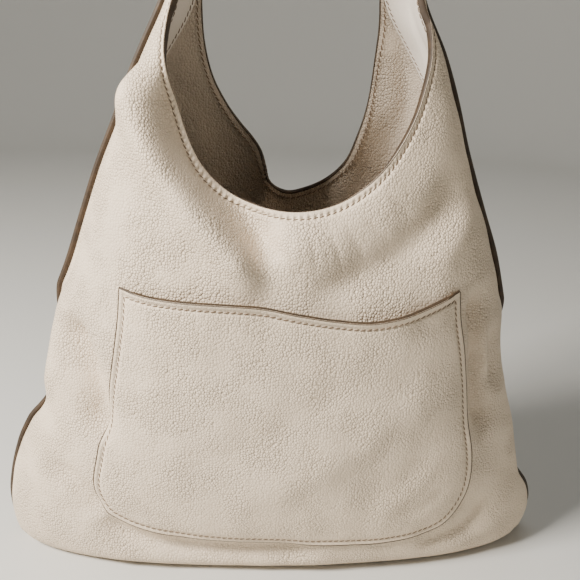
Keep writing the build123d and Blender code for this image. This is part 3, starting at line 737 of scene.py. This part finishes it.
def metal_material(name, colour):
    material, tree, shader = node_material(name)
    marks = pattern(tree, "ShaderNodeTexNoise", rest_place(tree), in_Scale=300.0, in_Detail=4.0)
    tree.links.new(ramp(tree, marks.outputs["Fac"], 0.3, 0.7, 0.22, 0.38), shader.inputs["Roughness"])
    shader.inputs["Base Color"].default_value = (*colour, 1.0)
    shader.inputs["Metallic"].default_value = 1.0
    return material


CREAM = (0.83, 0.69, 0.535)
outer_leather = leather_material("outer_leather", CREAM, margin=True)
# the facing is the same hide as the outside; its darker colour is painted shade inside the mouth
painted_shade_inner_leather = leather_material("painted_shade_inner_leather", (0.54, 0.455, 0.365), roughness=0.56)
smooth_leather = leather_material("smooth_leather", (0.70, 0.635, 0.56), pebble=0.16, roughness=0.46,
                                  cell=1.3)
edge_paint = paint_material("edge_paint", (0.058, 0.034, 0.016), 0.6)
thread = thread_material("thread", (0.20, 0.135, 0.085))
lining_cloth = cloth_material("lining_cloth", (0.42, 0.34, 0.26))
zip_cloth = cloth_material("zip_cloth", (0.34, 0.27, 0.20))
brass = metal_material("brass", (0.72, 0.56, 0.32))
base_board = cloth_material("base_board", (0.12, 0.11, 0.10))


def bend_with_strap(obj):
    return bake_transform(obj)


rings, ring_normals, rim_distance, seam_distance = {}, {}, {}, {}
for side in (FRONT, BACK):
    rings[side], rim_distance[side], seam_distance[side] = shaped_ring(side)
    ring_normals[side] = normals_of(rings[side], side)

# both sides meet at one seam line, and the leather near it is moved along
MEETING_WIDTH = 9.0
meeting = (rings[FRONT][:, -1] + rings[BACK][:, -1]) / 2
for side in (FRONT, BACK):
    shift = meeting - rings[side][:, -1]
    weight = np.exp(-(seam_distance[side] / MEETING_WIDTH) ** 2)
    rings[side] = rings[side] + shift[:, None] * weight[..., None]
    rings[side][..., 2] = np.maximum(rings[side][..., 2], 0.0)

ends = {FRONT: "front", BACK: "back"}
along_edge = {}
for side, end in ends.items():
    grid, normals = rings[side], ring_normals[side]
    rim_run = run_length(np.vstack([grid[:, 0], grid[:1, 0]]))
    whole_pitches = round(rim_run[-1] / PITCH) * PITCH
    along_edge[side] = np.repeat((rim_run[:-1] * whole_pitches / rim_run[-1])[:, None], grid.shape[1], axis=1)
    under = grid - normals * LEATHER
    panel = slab_object(f"{end}_leather", grid, under, outer_leather, closed=True, flip=side == BACK,
                        floats={"from_rim": rim_distance[side], "along_rim": along_edge[side]})
    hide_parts(f"{end}_panel", f"strap_outer_{end}")
    bend_with_strap(panel)

# ---------------------------------------------------------------- facings and linings
FACING_FOOT = 150.0
LAYER_GAP, PLY_GAP = 0.05, 0.06  # the air between the layers
STACK = LEATHER + FACING + LAYER_GAP
under = {side: rings[side] - ring_normals[side] * (LEATHER + LAYER_GAP) for side in ends}
inner = {side: rings[side] - ring_normals[side] * STACK for side in ends}


def cut_level(obj, height, upper):
    """Cut a closed mesh at a height, keep the upper or the lower piece and close the cut."""
    cutter = bmesh.new()
    cutter.from_mesh(obj.data)
    geometry = cutter.verts[:] + cutter.edges[:] + cutter.faces[:]
    done = bmesh.ops.bisect_plane(cutter, geom=geometry, plane_co=(0, 0, height * MM), plane_no=(0, 0, 1),
                                  clear_outer=not upper, clear_inner=upper)
    rim = [e for e in done["geom_cut"] if isinstance(e, bmesh.types.BMEdge)]
    bmesh.ops.triangle_fill(cutter, use_beauty=True, edges=rim)
    bmesh.ops.recalc_face_normals(cutter, faces=cutter.faces[:])
    cutter.to_mesh(obj.data)
    cutter.free()


for side, end in ends.items():
    facing = slab_object(f"{end}_facing_leather", under[side], inner[side], painted_shade_inner_leather, closed=True,
                         flip=side == BACK, floats={"from_rim": rim_distance[side]})
    cut_level(facing, FACING_FOOT, True)
    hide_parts(f"{end}_facing")
    bend_with_strap(facing)
    lining = slab_object(f"{end}_lining_cloth", under[side], inner[side], lining_cloth, closed=True,
                         flip=side == BACK)
    cut_level(lining, FACING_FOOT, False)
    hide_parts(f"{end}_lining")
    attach(lining, "bag")


# ---------------------------------------------------------------- strap lining
LINING_ACROSS, LINING_ROWS = 33, 150
LINING_FROM = 230  # the strap's lining starts above this height
LINING_CLEAR = 6.0  # how far from the seam the lining leaves the leather and rounds the corner
LINING_FOOT = {1: [(0.0, 296), (0.2, 299), (0.4, 309), (0.6, 330), (0.8, 366), (1.0, 408)],
               -1: [(0.0, 300), (0.2, 304), (0.4, 316), (0.6, 334), (0.8, 366), (1.0, 408)]}


def across_strap(i, depth):
    """A line inside the strap at one place of the rings, from the front's edge to the back's."""
    pieces = []
    for side in (FRONT, BACK):
        keep = seam_distance[side][i] > LINING_CLEAR
        line = (rings[side] - ring_normals[side] * depth)[i][keep]
        pieces.append(line if side == FRONT else line[::-1])
    return evenly(through(np.vstack([pieces[0][:: 3], pieces[0][-1:], pieces[1][:1], pieces[1][:: 3][1:],
                                     pieces[1][-1:]]), 4), LINING_ACROSS)


def strap_sheet(depth):
    """The strap's lining at a depth under the outer face, from its left end over the top to its right."""
    middle = len(rings[FRONT]) // 2
    heights = rings[FRONT][:, -1, 2]
    order = [i for i in [*range(middle, len(heights)), *range(middle)] if heights[i] > LINING_FROM]
    rows = np.stack([across_strap(i, depth) for i in order])
    share = np.linspace(0, 1, LINING_ACROSS)
    columns = []
    for k in range(LINING_ACROSS):
        line = rows[:, k]
        run = run_length(line)
        top = np.argmax(line[:, 2])
        foot = {hand: float(smooth(LINING_FOOT[hand])(share[k])) for hand in (1, -1)}
        start = np.interp(foot[-1], line[: top + 1, 2], run[: top + 1])
        stop = np.interp(-foot[1], -line[top:, 2], run[top:])
        columns.append(along(line, np.linspace(start, stop, LINING_ROWS)))
    return np.stack(columns, axis=1)


lining_back = strap_sheet(STACK + PLY_GAP)
lining_face = strap_sheet(STACK + PLY_GAP + STRAP_LINING)
strap_cover = slab_object("strap_lining_leather", lining_face, lining_back, smooth_leather)
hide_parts("strap_lining", "strap_core")
bend_with_strap(strap_cover)

cover_normals = unit(lining_face - lining_back)
for hand, row in ((-1, 3), (1, -4)):
    end = "right" if hand > 0 else "left"
    line, norm = lining_face[row, 1:-1], cover_normals[row, 1:-1]
    stitching = stitches(f"strap_lining_stitches_{end}", line, norm, thread)
    bend_with_strap(stitching)


# ---------------------------------------------------------------- painted edges round the mouth
PAINT_WRAP = 0.12  # how far the paint stands proud of the faces it wraps over
RIM_BULGE, POCKET_BULGE = 0.75, 0.6  # how far it stands out from the edge
PLY_FROM = {FRONT: (298, 312), BACK: (400, 412)}


def painted_edge(outer, normals, away, depth, lift):
    """A rounded strip of paint over a raw edge, from its outer line round to its inner one and back."""
    angle = np.linspace(0, np.pi, 9)
    across = PAINT_WRAP - (depth[:, None] / 2 + PAINT_WRAP) * (1 - np.cos(angle))[None, :]
    rise = lift[:, None] * (np.sin(angle) - (1 - np.sin(angle)) ** 2)[None, :]
    strip = outer[:, None] + across[..., None] * normals[:, None] + rise[..., None] * away[:, None]
    return np.concatenate([strip, strip[:, :1]], axis=1)


for side, end in ends.items():
    rim = rings[side][:, 0]
    plies = step_up(rim[:, 2], *PLY_FROM[side])
    hidden = 0 * plies
    if side == FRONT:
        hidden = (1 - step_up(rim[:, 0], 10, 50)) * (1 - step_up(rim[:, 2], 318, 345))
    strip = painted_edge(rim, ring_normals[side][:, 0], unit(rim - rings[side][:, 2]),
                         STACK + plies * (STRAP_LINING + PLY_GAP), RIM_BULGE - 0.45 * hidden)
    edge = grid_object(f"{end}_rim_paint", strip, edge_paint, closed=True, flip=side == BACK)
    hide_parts(f"{end}_rim_edge", f"strap_edge_{end}")
    bend_with_strap(edge)


# ---------------------------------------------------------------- stitching round the mouth
def ring_line(side, distance):
    """A line on the outer face at a distance from the mouth's edge, with its normals."""
    grid, normals, d = rings[side], ring_normals[side], rim_distance[side]

    def pick(values):
        return np.stack([[np.interp(distance, d[i], values[i, :, k]) for k in range(3)]
                         for i in range(len(grid))])
    return pick(grid), unit(pick(normals))


for side, end in ends.items():
    line, norm = ring_line(side, RIM_MARGIN)
    plies = step_up(line[:, 2], *PLY_FROM[side])[:, None]
    inside = line - norm * (STACK + plies * (STRAP_LINING + PLY_GAP))
    for name, at, out in ((f"{end}_rim_stitches", line, norm), (f"{end}_rim_stitches_inside", inside, -norm)):
        row = stitches(name, at, out, thread, closed=True)
        bend_with_strap(row)

# ---------------------------------------------------------------- piping along the seam
PIPING_HALF, PIPING_PROUD, PIPING_SUNK, PIPING_TILT = 1.9, 3.9, 1.6, 0.8
PIPING_SHAPE = [(-1, -0.9), (-1.02, 0), (-1, 0.55), (-0.86, 0.88), (-0.45, 1.02), (-0.12, 1.0), (0, 0.93),
                (0.12, 1.0), (0.45, 1.02), (0.86, 0.88), (1, 0.55), (1.02, 0), (1, -0.9)]
PIPING_EDGE = (1, 11)  # the columns of the shape that are painted
seam = (rings[FRONT][:, -1] + rings[BACK][:, -1]) / 2
seam_tangent = unit(np.roll(seam, -1, axis=0) - np.roll(seam, 1, axis=0))
stand = unit(np.cross(seam_tangent, (0, 1.0, 0)))
stand *= np.sign(stand[:1, 2:3])
on_wall = step_up(seam[:, 2], 0.5, 7)
stand[:, 1] -= PIPING_TILT * on_wall
stand = unit(stand)
wide = unit(np.cross(seam_tangent, stand))
proud = PIPING_PROUD * on_wall * (1 - 0.45 * (1 - step_up(seam[:, 2], 55, 95)))
sunk = np.full(len(seam), PIPING_SUNK)
piping_grid = np.stack(
    [seam + wide * (PIPING_HALF * w) + stand * (h * (proud if h > 0 else sunk))[:, None]
     for w, h in PIPING_SHAPE], axis=1)
piping_grid[..., 2] = np.maximum(piping_grid[..., 2], 0.0)
piping = grid_object("seam_piping", np.concatenate([piping_grid, piping_grid[:, :1]], axis=1),
                     [outer_leather, edge_paint], closed=True)
columns = len(PIPING_SHAPE)
for face in piping.data.polygons:
    column = face.index % columns
    face.material_index = 1 if PIPING_EDGE[0] <= column < PIPING_EDGE[1] else 0
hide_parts("body_piping", "strap_piping")
bend_with_strap(piping)


# ---------------------------------------------------------------- patch pocket
# Its outline in the front view: the sagging top, and the sides and foot from top left round to top right.
POCKET_TOP = [(-109.5, 216.5), (-92, 213.5), (-71, 212.5), (-45, 212), (-20, 210.5), (5, 206), (31, 202),
              (51, 201), (71, 204), (92, 210), (112.5, 217)]
POCKET_SIDES = [(-109.5, 216.5), (-113, 183), (-118, 152), (-123, 122), (-129, 94), (-132.5, 72),
                (-130.5, 59), (-124, 48.5), (-112, 41.5), (-93, 36.5), (-58, 32.5), (-1, 29.5), (35, 28),
                (71, 27.5), (101, 31), (117, 37), (128, 48), (134, 62), (136, 82), (131, 113), (125, 152),
                (117, 190), (112.5, 217)]
LEFT_CORNER, RIGHT_CORNER = 7, 16  # the points of the sides at the middle of each lower corner
POCKET_LEATHER, POCKET_LINING = 1.8, 0.9
POCKET_BEAD = 1.7  # how far the paint along the top hangs past the lining
POCKET_MARGIN = 4.3
BORDER = [0, 0.7, 1.6, 2.6, 3.5, POCKET_MARGIN, 5.1, 6.2, 7.6, 9.4]


def distance_to(line, x, z):
    """Distance in the front view from points to a dense line."""
    flat = np.stack([x.ravel(), z.ravel()], axis=-1)
    best = np.full(len(flat), 1e9)
    for a, b in zip(line[:-1], line[1:]):
        d = b - a
        t = np.clip(((flat - a) @ d) / max(d @ d, 1e-9), 0, 1)
        best = np.minimum(best, np.hypot(*(flat - a - t[:, None] * d).T))
    return best.reshape(x.shape)


def panel_at(side, x, z):
    """A panel's outer face with its folds, and the outward normal of the plain wall."""
    def wall(x, z):
        return body_point(side, turn_at(side, x, z), run_at_height(side, z))
    at = wall(x, z)
    normal = unit(np.cross(wall(x + 0.5, z) - at, wall(x, z + 0.5) - at)) * -side
    return at + normal * folds[side](x, z)[..., None], normal


pocket_top = through(POCKET_TOP, 10)
pocket_sides = through(POCKET_SIDES, 10)


POCKET_CREASES = [([(70, 190), (30, 150), (-30, 112), (-92, 86)], 1.9, 16, 18, 0.3),
                  ([(98, 168), (60, 120), (10, 84), (-50, 62)], -1.3, 15, 18, 0.3),
                  ([(112, 120), (84, 82), (40, 54)], 1.5, 12, 14, 0.35),
                  ([(-96, 196), (-74, 160), (-68, 120)], 1.2, 13, 16, 0.35),
                  ([(122, 72), (104, 60), (84, 44)], 1.4, 6, 9, 0.3),
                  ([(118, 92), (96, 66), (72, 40)], 0.9, 7, 8, 0.3)]


def pocket_folds(x, z):
    """Slow waves of the pocket's leather, from its upper right to its lower left."""
    return 0.5 * ripple(x, z, 70, 21) + sum(crease(x, z, *row) for row in POCKET_CREASES)


def pocket_lift(x, z):
    """How far the pocket stands off the panel: sewn down at the sides and foot, gaping at the top."""
    from_sides = distance_to(pocket_sides, x, z)
    from_top = distance_to(pocket_top, x, z)
    free = 1 - np.exp(-((from_sides / 17) ** 1.3))
    gape = 2.6 * np.exp(-((x + 62) / 34) ** 2) + 3.2 * np.exp(-((x - 66) / 30) ** 2) + 2.2
    loose = 2.9 + gape * np.exp(-from_top / 24)
    channel = 0.40 * (np.exp(-((from_sides - POCKET_MARGIN) / 1.0) ** 2)
                      + 0.6 * np.exp(-((from_top - POCKET_MARGIN) / 1.0) ** 2))
    return 0.25 + free * (loose + pocket_folds(x, z)) - channel, np.minimum(from_sides, from_top)


def pocket_face(x, z, extra=0.0):
    at, normal = panel_at(FRONT, x, z)
    lift, from_edge = pocket_lift(x, z)
    return at + normal * (lift + extra)[..., None], from_edge


def spread(length, count):
    """Places from 0 to 1 along a length, close together near both ends."""
    border = np.array(BORDER)
    inner_places = np.linspace(border[-1], length - border[-1], count + 2)[1:-1]
    return np.concatenate([border, inner_places, length - border[::-1]]) / length


def pocket_map(across, down):
    """Points of the front view for shares across and down the pocket (a Coons patch)."""
    cut = [np.argmin(np.hypot(*(pocket_sides - np.array(POCKET_SIDES[k], float)).T))
           for k in (LEFT_CORNER, RIGHT_CORNER)]
    left, foot, right_side = (pocket_sides[: cut[0] + 1], pocket_sides[cut[0]: cut[1] + 1],
                              pocket_sides[cut[1]:][::-1])

    def pick(line, share):
        return along(line, share * run_length(line)[-1])
    top_line, foot_line = pick(pocket_top, across), pick(foot, across)
    left_line, right_line = pick(left, down), pick(right_side, down)
    u, v = across[None, :, None], down[:, None, None]
    ruled_down = (1 - v) * top_line[None] + v * foot_line[None]
    ruled_across = (1 - u) * left_line[:, None] + u * right_line[:, None]
    corners = ((1 - u) * (1 - v) * top_line[0] + u * (1 - v) * top_line[-1]
               + (1 - u) * v * foot_line[0] + u * v * foot_line[-1])
    return ruled_down + ruled_across - corners


pocket_count = 90
flat_pocket = pocket_map(spread(240.0, pocket_count), spread(182.0, int(pocket_count * 0.75)))
pocket_outer, pocket_distance = pocket_face(flat_pocket[..., 0], flat_pocket[..., 1], POCKET_LEATHER)
pocket_inner, _ = pocket_face(flat_pocket[..., 0], flat_pocket[..., 1])
pocket = slab_object("pocket_leather", pocket_outer, pocket_inner, outer_leather,
                     floats={"from_rim": pocket_distance})
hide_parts("front_pocket")
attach(pocket, "bag")

# the lining ply, which ends inside the sewn border
rows_in, columns_in = slice(0, -10), slice(10, -10)
lining_outer = pocket_inner[rows_in, columns_in]
lining_normal = unit(pocket_outer - pocket_inner)[rows_in, columns_in]
pocket_ply = slab_object("pocket_lining_cloth", lining_outer - lining_normal * 0.05,
                         lining_outer - lining_normal * POCKET_LINING, lining_cloth)
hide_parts("front_pocket_lining")
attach(pocket_ply, "bag")

# painted edge all round, thicker along the top where two plies meet
outline = np.vstack([pocket_top[:-1], pocket_sides[::-1][:-1]])
outline = evenly(np.vstack([outline, outline[:1]]), 700)[:-1]
heading = unit(np.roll(outline, -1, axis=0) - np.roll(outline, 1, axis=0))
outwards = np.stack([-heading[:, 1], heading[:, 0]], axis=-1)
edge_out, _ = pocket_face(outline[:, 0], outline[:, 1], POCKET_LEATHER)
edge_in, _ = pocket_face(outline[:, 0], outline[:, 1])
step_out, _ = panel_at(FRONT, *(outline + outwards * 0.5).T)
step_in, _ = panel_at(FRONT, *(outline - outwards * 0.5).T)
edge_away = unit(step_out - step_in)
edge_normal = unit(edge_out - edge_in)
two_ply = step_up(distance_to(pocket_sides, *outline.T), 8, 13)
edge_depth = POCKET_LEATHER + (POCKET_LINING + POCKET_BEAD) * two_ply
edge_lift = np.full(len(outline), POCKET_BULGE)
strip = painted_edge(edge_out, edge_normal, edge_away, edge_depth, edge_lift)
pocket_edge = grid_object("pocket_edge_paint", strip, edge_paint, closed=True)
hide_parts("pocket_top_edge")
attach(pocket_edge, "bag")

inset = outline - outwards * POCKET_MARGIN
apart = np.minimum(distance_to(pocket_sides, *inset.T), distance_to(pocket_top, *inset.T))
inset = inset[apart > POCKET_MARGIN - 0.08]
inset_at, _ = pocket_face(inset[:, 0], inset[:, 1], POCKET_LEATHER)
inset_normal = unit(inset_at - pocket_face(inset[:, 0], inset[:, 1])[0])
pocket_stitching = stitches("pocket_stitches", inset_at, inset_normal, thread, closed=True)
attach(pocket_stitching, "bag")

# ---------------------------------------------------------------- zipped pocket inside the back
ZIP_HEIGHT, ZIP_FACE, ZIP_SHEET = 196.0, 51.0, 0.9
ZIP_POCKET_HALF, ZIP_POCKET_FOOT, ZIP_POCKET_TOP = 86.0, 104.0, 212.0
WINDOW_HALF, WINDOW_RISE = 74.0, 4.5


def pierced_sheet(name, face, back, keep, material):
    """A sheet with two faces made of the kept cells of a grid, closed round every border."""
    rows, columns = face.shape[:2]
    size = rows * columns
    faces, sides = [], set()
    for i, j in np.argwhere(keep):
        corner = int(i * columns + j)
        quad = (corner, corner + columns, corner + columns + 1, corner + 1)
        sides.update(zip(quad, quad[1:] + quad[:1]))
        faces.append(quad)
        faces.append(tuple(v + size for v in quad[::-1]))
    for a, b in sorted(sides):
        if (b, a) not in sides:
            faces.append((b, a, a + size, b + size))
    used = sorted({v for f in faces for v in f})
    place = {v: k for k, v in enumerate(used)}
    points = np.concatenate([face.reshape(-1, 3), back.reshape(-1, 3)])[used]
    return mesh_object(name, points, [tuple(place[v] for v in f) for f in faces], material)


zip_x = np.concatenate([np.linspace(-ZIP_POCKET_HALF, -WINDOW_HALF, 9)[:-1],
                        np.linspace(-WINDOW_HALF, WINDOW_HALF, 60),
                        np.linspace(WINDOW_HALF, ZIP_POCKET_HALF, 9)[1:]])
window_low, window_high = ZIP_HEIGHT - WINDOW_RISE, ZIP_HEIGHT + WINDOW_RISE
zip_z = np.concatenate([np.linspace(ZIP_POCKET_FOOT, window_low, 40)[:-1],
                        np.linspace(window_low, window_high, 5),
                        np.linspace(window_high, ZIP_POCKET_TOP, 9)[1:]])
sheet_x, sheet_z = np.meshgrid(zip_x, zip_z)
behind = panel_at(BACK, sheet_x, sheet_z)[0][..., 1] - (STACK + 0.4)
from_border = np.minimum(ZIP_POCKET_HALF - np.abs(sheet_x), np.minimum(sheet_z - ZIP_POCKET_FOOT,
                                                                        ZIP_POCKET_TOP - sheet_z))
puffed = step_up(from_border, 0, 7)
below_zip = 1 - step_up(sheet_z, 168, 188)
fullness = ZIP_FACE - below_zip * (1.6 + 1.3 * ripple(sheet_x, sheet_z, 46, 31))
sheet_y = behind - ZIP_SHEET + (fullness - behind + ZIP_SHEET) * puffed
front_face = np.stack([sheet_x, sheet_y, sheet_z], axis=-1)
middle_x, middle_z = (zip_x[1:] + zip_x[:-1]) / 2, (zip_z[1:] + zip_z[:-1]) / 2
in_window = (np.abs(middle_x)[None] < WINDOW_HALF) & (np.abs(middle_z - ZIP_HEIGHT)[:, None] < WINDOW_RISE)
into_sheet = np.array([0, ZIP_SHEET, 0])
pouch = pierced_sheet("zip_pocket_cloth", front_face, front_face + into_sheet, ~in_window, lining_cloth)
back_face = np.stack([sheet_x, behind - 0.1 * ZIP_SHEET, sheet_z], axis=-1)
pouch_back = pierced_sheet("zip_pocket_back_cloth", back_face, back_face + into_sheet * 0.4,
                           np.full(in_window.shape, True), lining_cloth)
for piece in (pouch, pouch_back):
    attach(piece, "bag")
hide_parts("zip_pocket")


def rounded_frame(offset):
    """The window's outline moved outwards by an offset, with round corners."""
    radius = 1.5 + offset
    quarter = np.linspace(0, np.pi / 2, 10)
    corners = []
    for start, across_sign, up_sign in ((0, 1, 1), (1, -1, 1), (2, -1, -1), (3, 1, -1)):
        angle = quarter + start * np.pi / 2
        corners.append(np.column_stack([
            across_sign * (WINDOW_HALF - 1.5) + radius * np.cos(angle),
            np.full(len(angle), ZIP_FACE),
            ZIP_HEIGHT + up_sign * (WINDOW_RISE - 1.5) + radius * np.sin(angle)]))
    return np.vstack(corners)


WELT_SHAPE = [(0, 0.1), (0, -0.1), (0.3, -0.25), (5.7, -0.25), (6.0, -0.1), (6.0, 0.1), (0, 0.1)]
welt_grid = np.stack([rounded_frame(out) + np.array([0, rise, 0]) for out, rise in WELT_SHAPE], axis=1)
welt = grid_object("zip_welt_leather", welt_grid, smooth_leather, closed=True, flip=True)
welt_line = rounded_frame(3.6) + np.array([0, 0.05, 0])
welt_stitches = stitches("zip_welt_stitches", welt_line, np.tile((0, -1.0, 0), (len(welt_line), 1)), thread,
                         closed=True, radius=0.3)
for piece in (welt, welt_stitches):
    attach(piece, "bag")

# ---------------------------------------------------------------- magnetic snap
# Each half is a turned disc seated on its facing: distance from its axis and height above the seat.
SOCKET_TURNING = [(0, 0.9), (2.6, 0.9), (4.0, 1.0), (4.2, 1.4), (4.2, 2.5), (4.5, 2.85), (5.2, 2.9),
                  (6.4, 2.6), (7.0, 1.9), (7.6, 1.4), (8.4, 1.2), (8.9, 0.8), (9.0, 0.2), (9.0, -1.2),
                  (0, -1.2)]
STUD_TURNING = [(0, 2.9), (2.2, 2.85), (3.4, 2.6), (3.9, 2.1), (4.0, 1.3), (4.8, 1.15), (6.8, 1.2),
                (8.2, 1.1), (8.8, 0.8), (9.0, 0.2), (9.0, -1.2), (0, -1.2)]
SNAP_SIDES = 64
for side, node, turning in ((FRONT, "snap_socket", SOCKET_TURNING), (BACK, "snap_stud", STUD_TURNING)):
    low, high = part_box(node)
    centre_z = np.array([(low.z + high.z) / 2 / MM])
    seat, outward = (a[0] for a in panel_at(side, np.zeros(1), centre_z))
    seat = seat - outward * (STACK - 0.1)
    across = unit(np.cross(outward, (0, 0, 1.0)))
    upwards = np.cross(across, outward)
    spin = np.linspace(0, 2 * np.pi, SNAP_SIDES, endpoint=False)
    disc = np.stack([seat + r * (np.cos(a) * across + np.sin(a) * upwards) - h * outward
                     for a in spin for r, h in turning]).reshape(SNAP_SIDES, len(turning), 3)
    snap_half = grid_object(f"{node}_disc", disc, brass, closed=True, flip=side == BACK)
    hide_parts(node)
    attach(snap_half, "bag")

# ---------------------------------------------------------------- parts kept from the frame
for node, material in (("zip_slider", brass), ("zip_pull", brass),
                       ("zip_teeth_upper", brass), ("zip_teeth_lower", brass), ("zip_tape_upper", zip_cloth),
                       ("zip_tape_lower", zip_cloth), ("base_stiffener", base_board)):
    slots = bpy.data.objects[node].data.materials
    slots.clear()
    slots.append(material)


# ---------------------------------------------------------------- stage, light and camera
def area_light(name, at, look, size, power, colour=(1, 1, 1)):
    data = bpy.data.lights.new(name, "AREA")
    data.shape = "RECTANGLE"
    data.size, data.size_y = size
    data.energy = power
    data.color = colour
    lamp = bpy.data.objects.new(name, data)
    lamp.visible_camera = False
    bpy.context.scene.collection.objects.link(lamp)
    at, look = np.array(at, float), np.array(look, float)
    back = unit(at - look)
    side = unit(np.cross((0, 0, 1.0), back))
    up = np.cross(back, side)
    lamp.matrix_world = Matrix([[side[k], up[k], back[k], at[k]] for k in range(3)] + [[0, 0, 0, 1]])
    return lamp


floor_material, _, floor_shader = node_material("floor_paint")
floor_shader.inputs["Base Color"].default_value = (0.68, 0.68, 0.655, 1)
floor_shader.inputs["Roughness"].default_value = 0.55
DISH_FLAT, DISH_BEND, DISH_TOP = 1900.0, 900.0, 4200.0  # a round floor that curves up into a wall
bend = np.linspace(0, np.pi / 2, 24)
dish_side = np.vstack([[1.0, 0], np.column_stack([DISH_FLAT + DISH_BEND * np.sin(bend),
                                                  DISH_BEND * (1 - np.cos(bend))]),
                       [DISH_FLAT + DISH_BEND, DISH_TOP]])
around = np.linspace(0, 2 * np.pi, 180, endpoint=False)
dish = np.stack([np.column_stack([dish_side[:, 0] * np.cos(a), dish_side[:, 0] * np.sin(a), dish_side[:, 1]])
                 for a in around])
floor = grid_object("floor", dish, floor_material, closed=True)
floor.location.z = -0.0002  # a hair under the bag

area_light("key", (-0.96, -0.50, 0.98), (0, 0, 0.27), (0.36, 0.36), 47, (1.0, 0.945, 0.87))
area_light("fill", (1.8, -1.5, 0.9), (0, 0, 0.2), (1.6, 1.6), 1.5, (0.97, 0.98, 1.0))
area_light("top", (0.3, 0.9, 2.1), (0, 0, 0.2), (1.4, 1.4), 7, (1.0, 0.98, 0.95))

world = bpy.data.worlds.new("studio")
world.use_nodes = True
world.node_tree.nodes["Background"].inputs["Color"].default_value = (0.80, 0.83, 0.82, 1)
world.node_tree.nodes["Background"].inputs["Strength"].default_value = 0.09
bpy.context.scene.world = world

CAMERA_AT = (-0.039, -0.547, 0.384)
PITCH_DOWN, YAW_RIGHT, ROLL, LENS = np.radians(18.7), np.radians(4.5), np.radians(2.2), 49.66
camera_data = bpy.data.cameras.new("camera")
camera_data.lens = LENS
camera_data.sensor_width = 36
camera = bpy.data.objects.new("camera", camera_data)
bpy.context.scene.collection.objects.link(camera)
ahead = np.array([np.sin(YAW_RIGHT) * np.cos(PITCH_DOWN), np.cos(YAW_RIGHT) * np.cos(PITCH_DOWN),
                  -np.sin(PITCH_DOWN)])
level = np.array([np.cos(YAW_RIGHT), -np.sin(YAW_RIGHT), 0])
above = np.cross(level, ahead)
right = level * np.cos(ROLL) + above * np.sin(ROLL)
up = above * np.cos(ROLL) - level * np.sin(ROLL)
camera.matrix_world = Matrix(
    [[right[k], up[k], -ahead[k], CAMERA_AT[k]] for k in range(3)] + [[0, 0, 0, 1]])
camera_data.clip_start = 0.01
bpy.context.scene.camera = camera
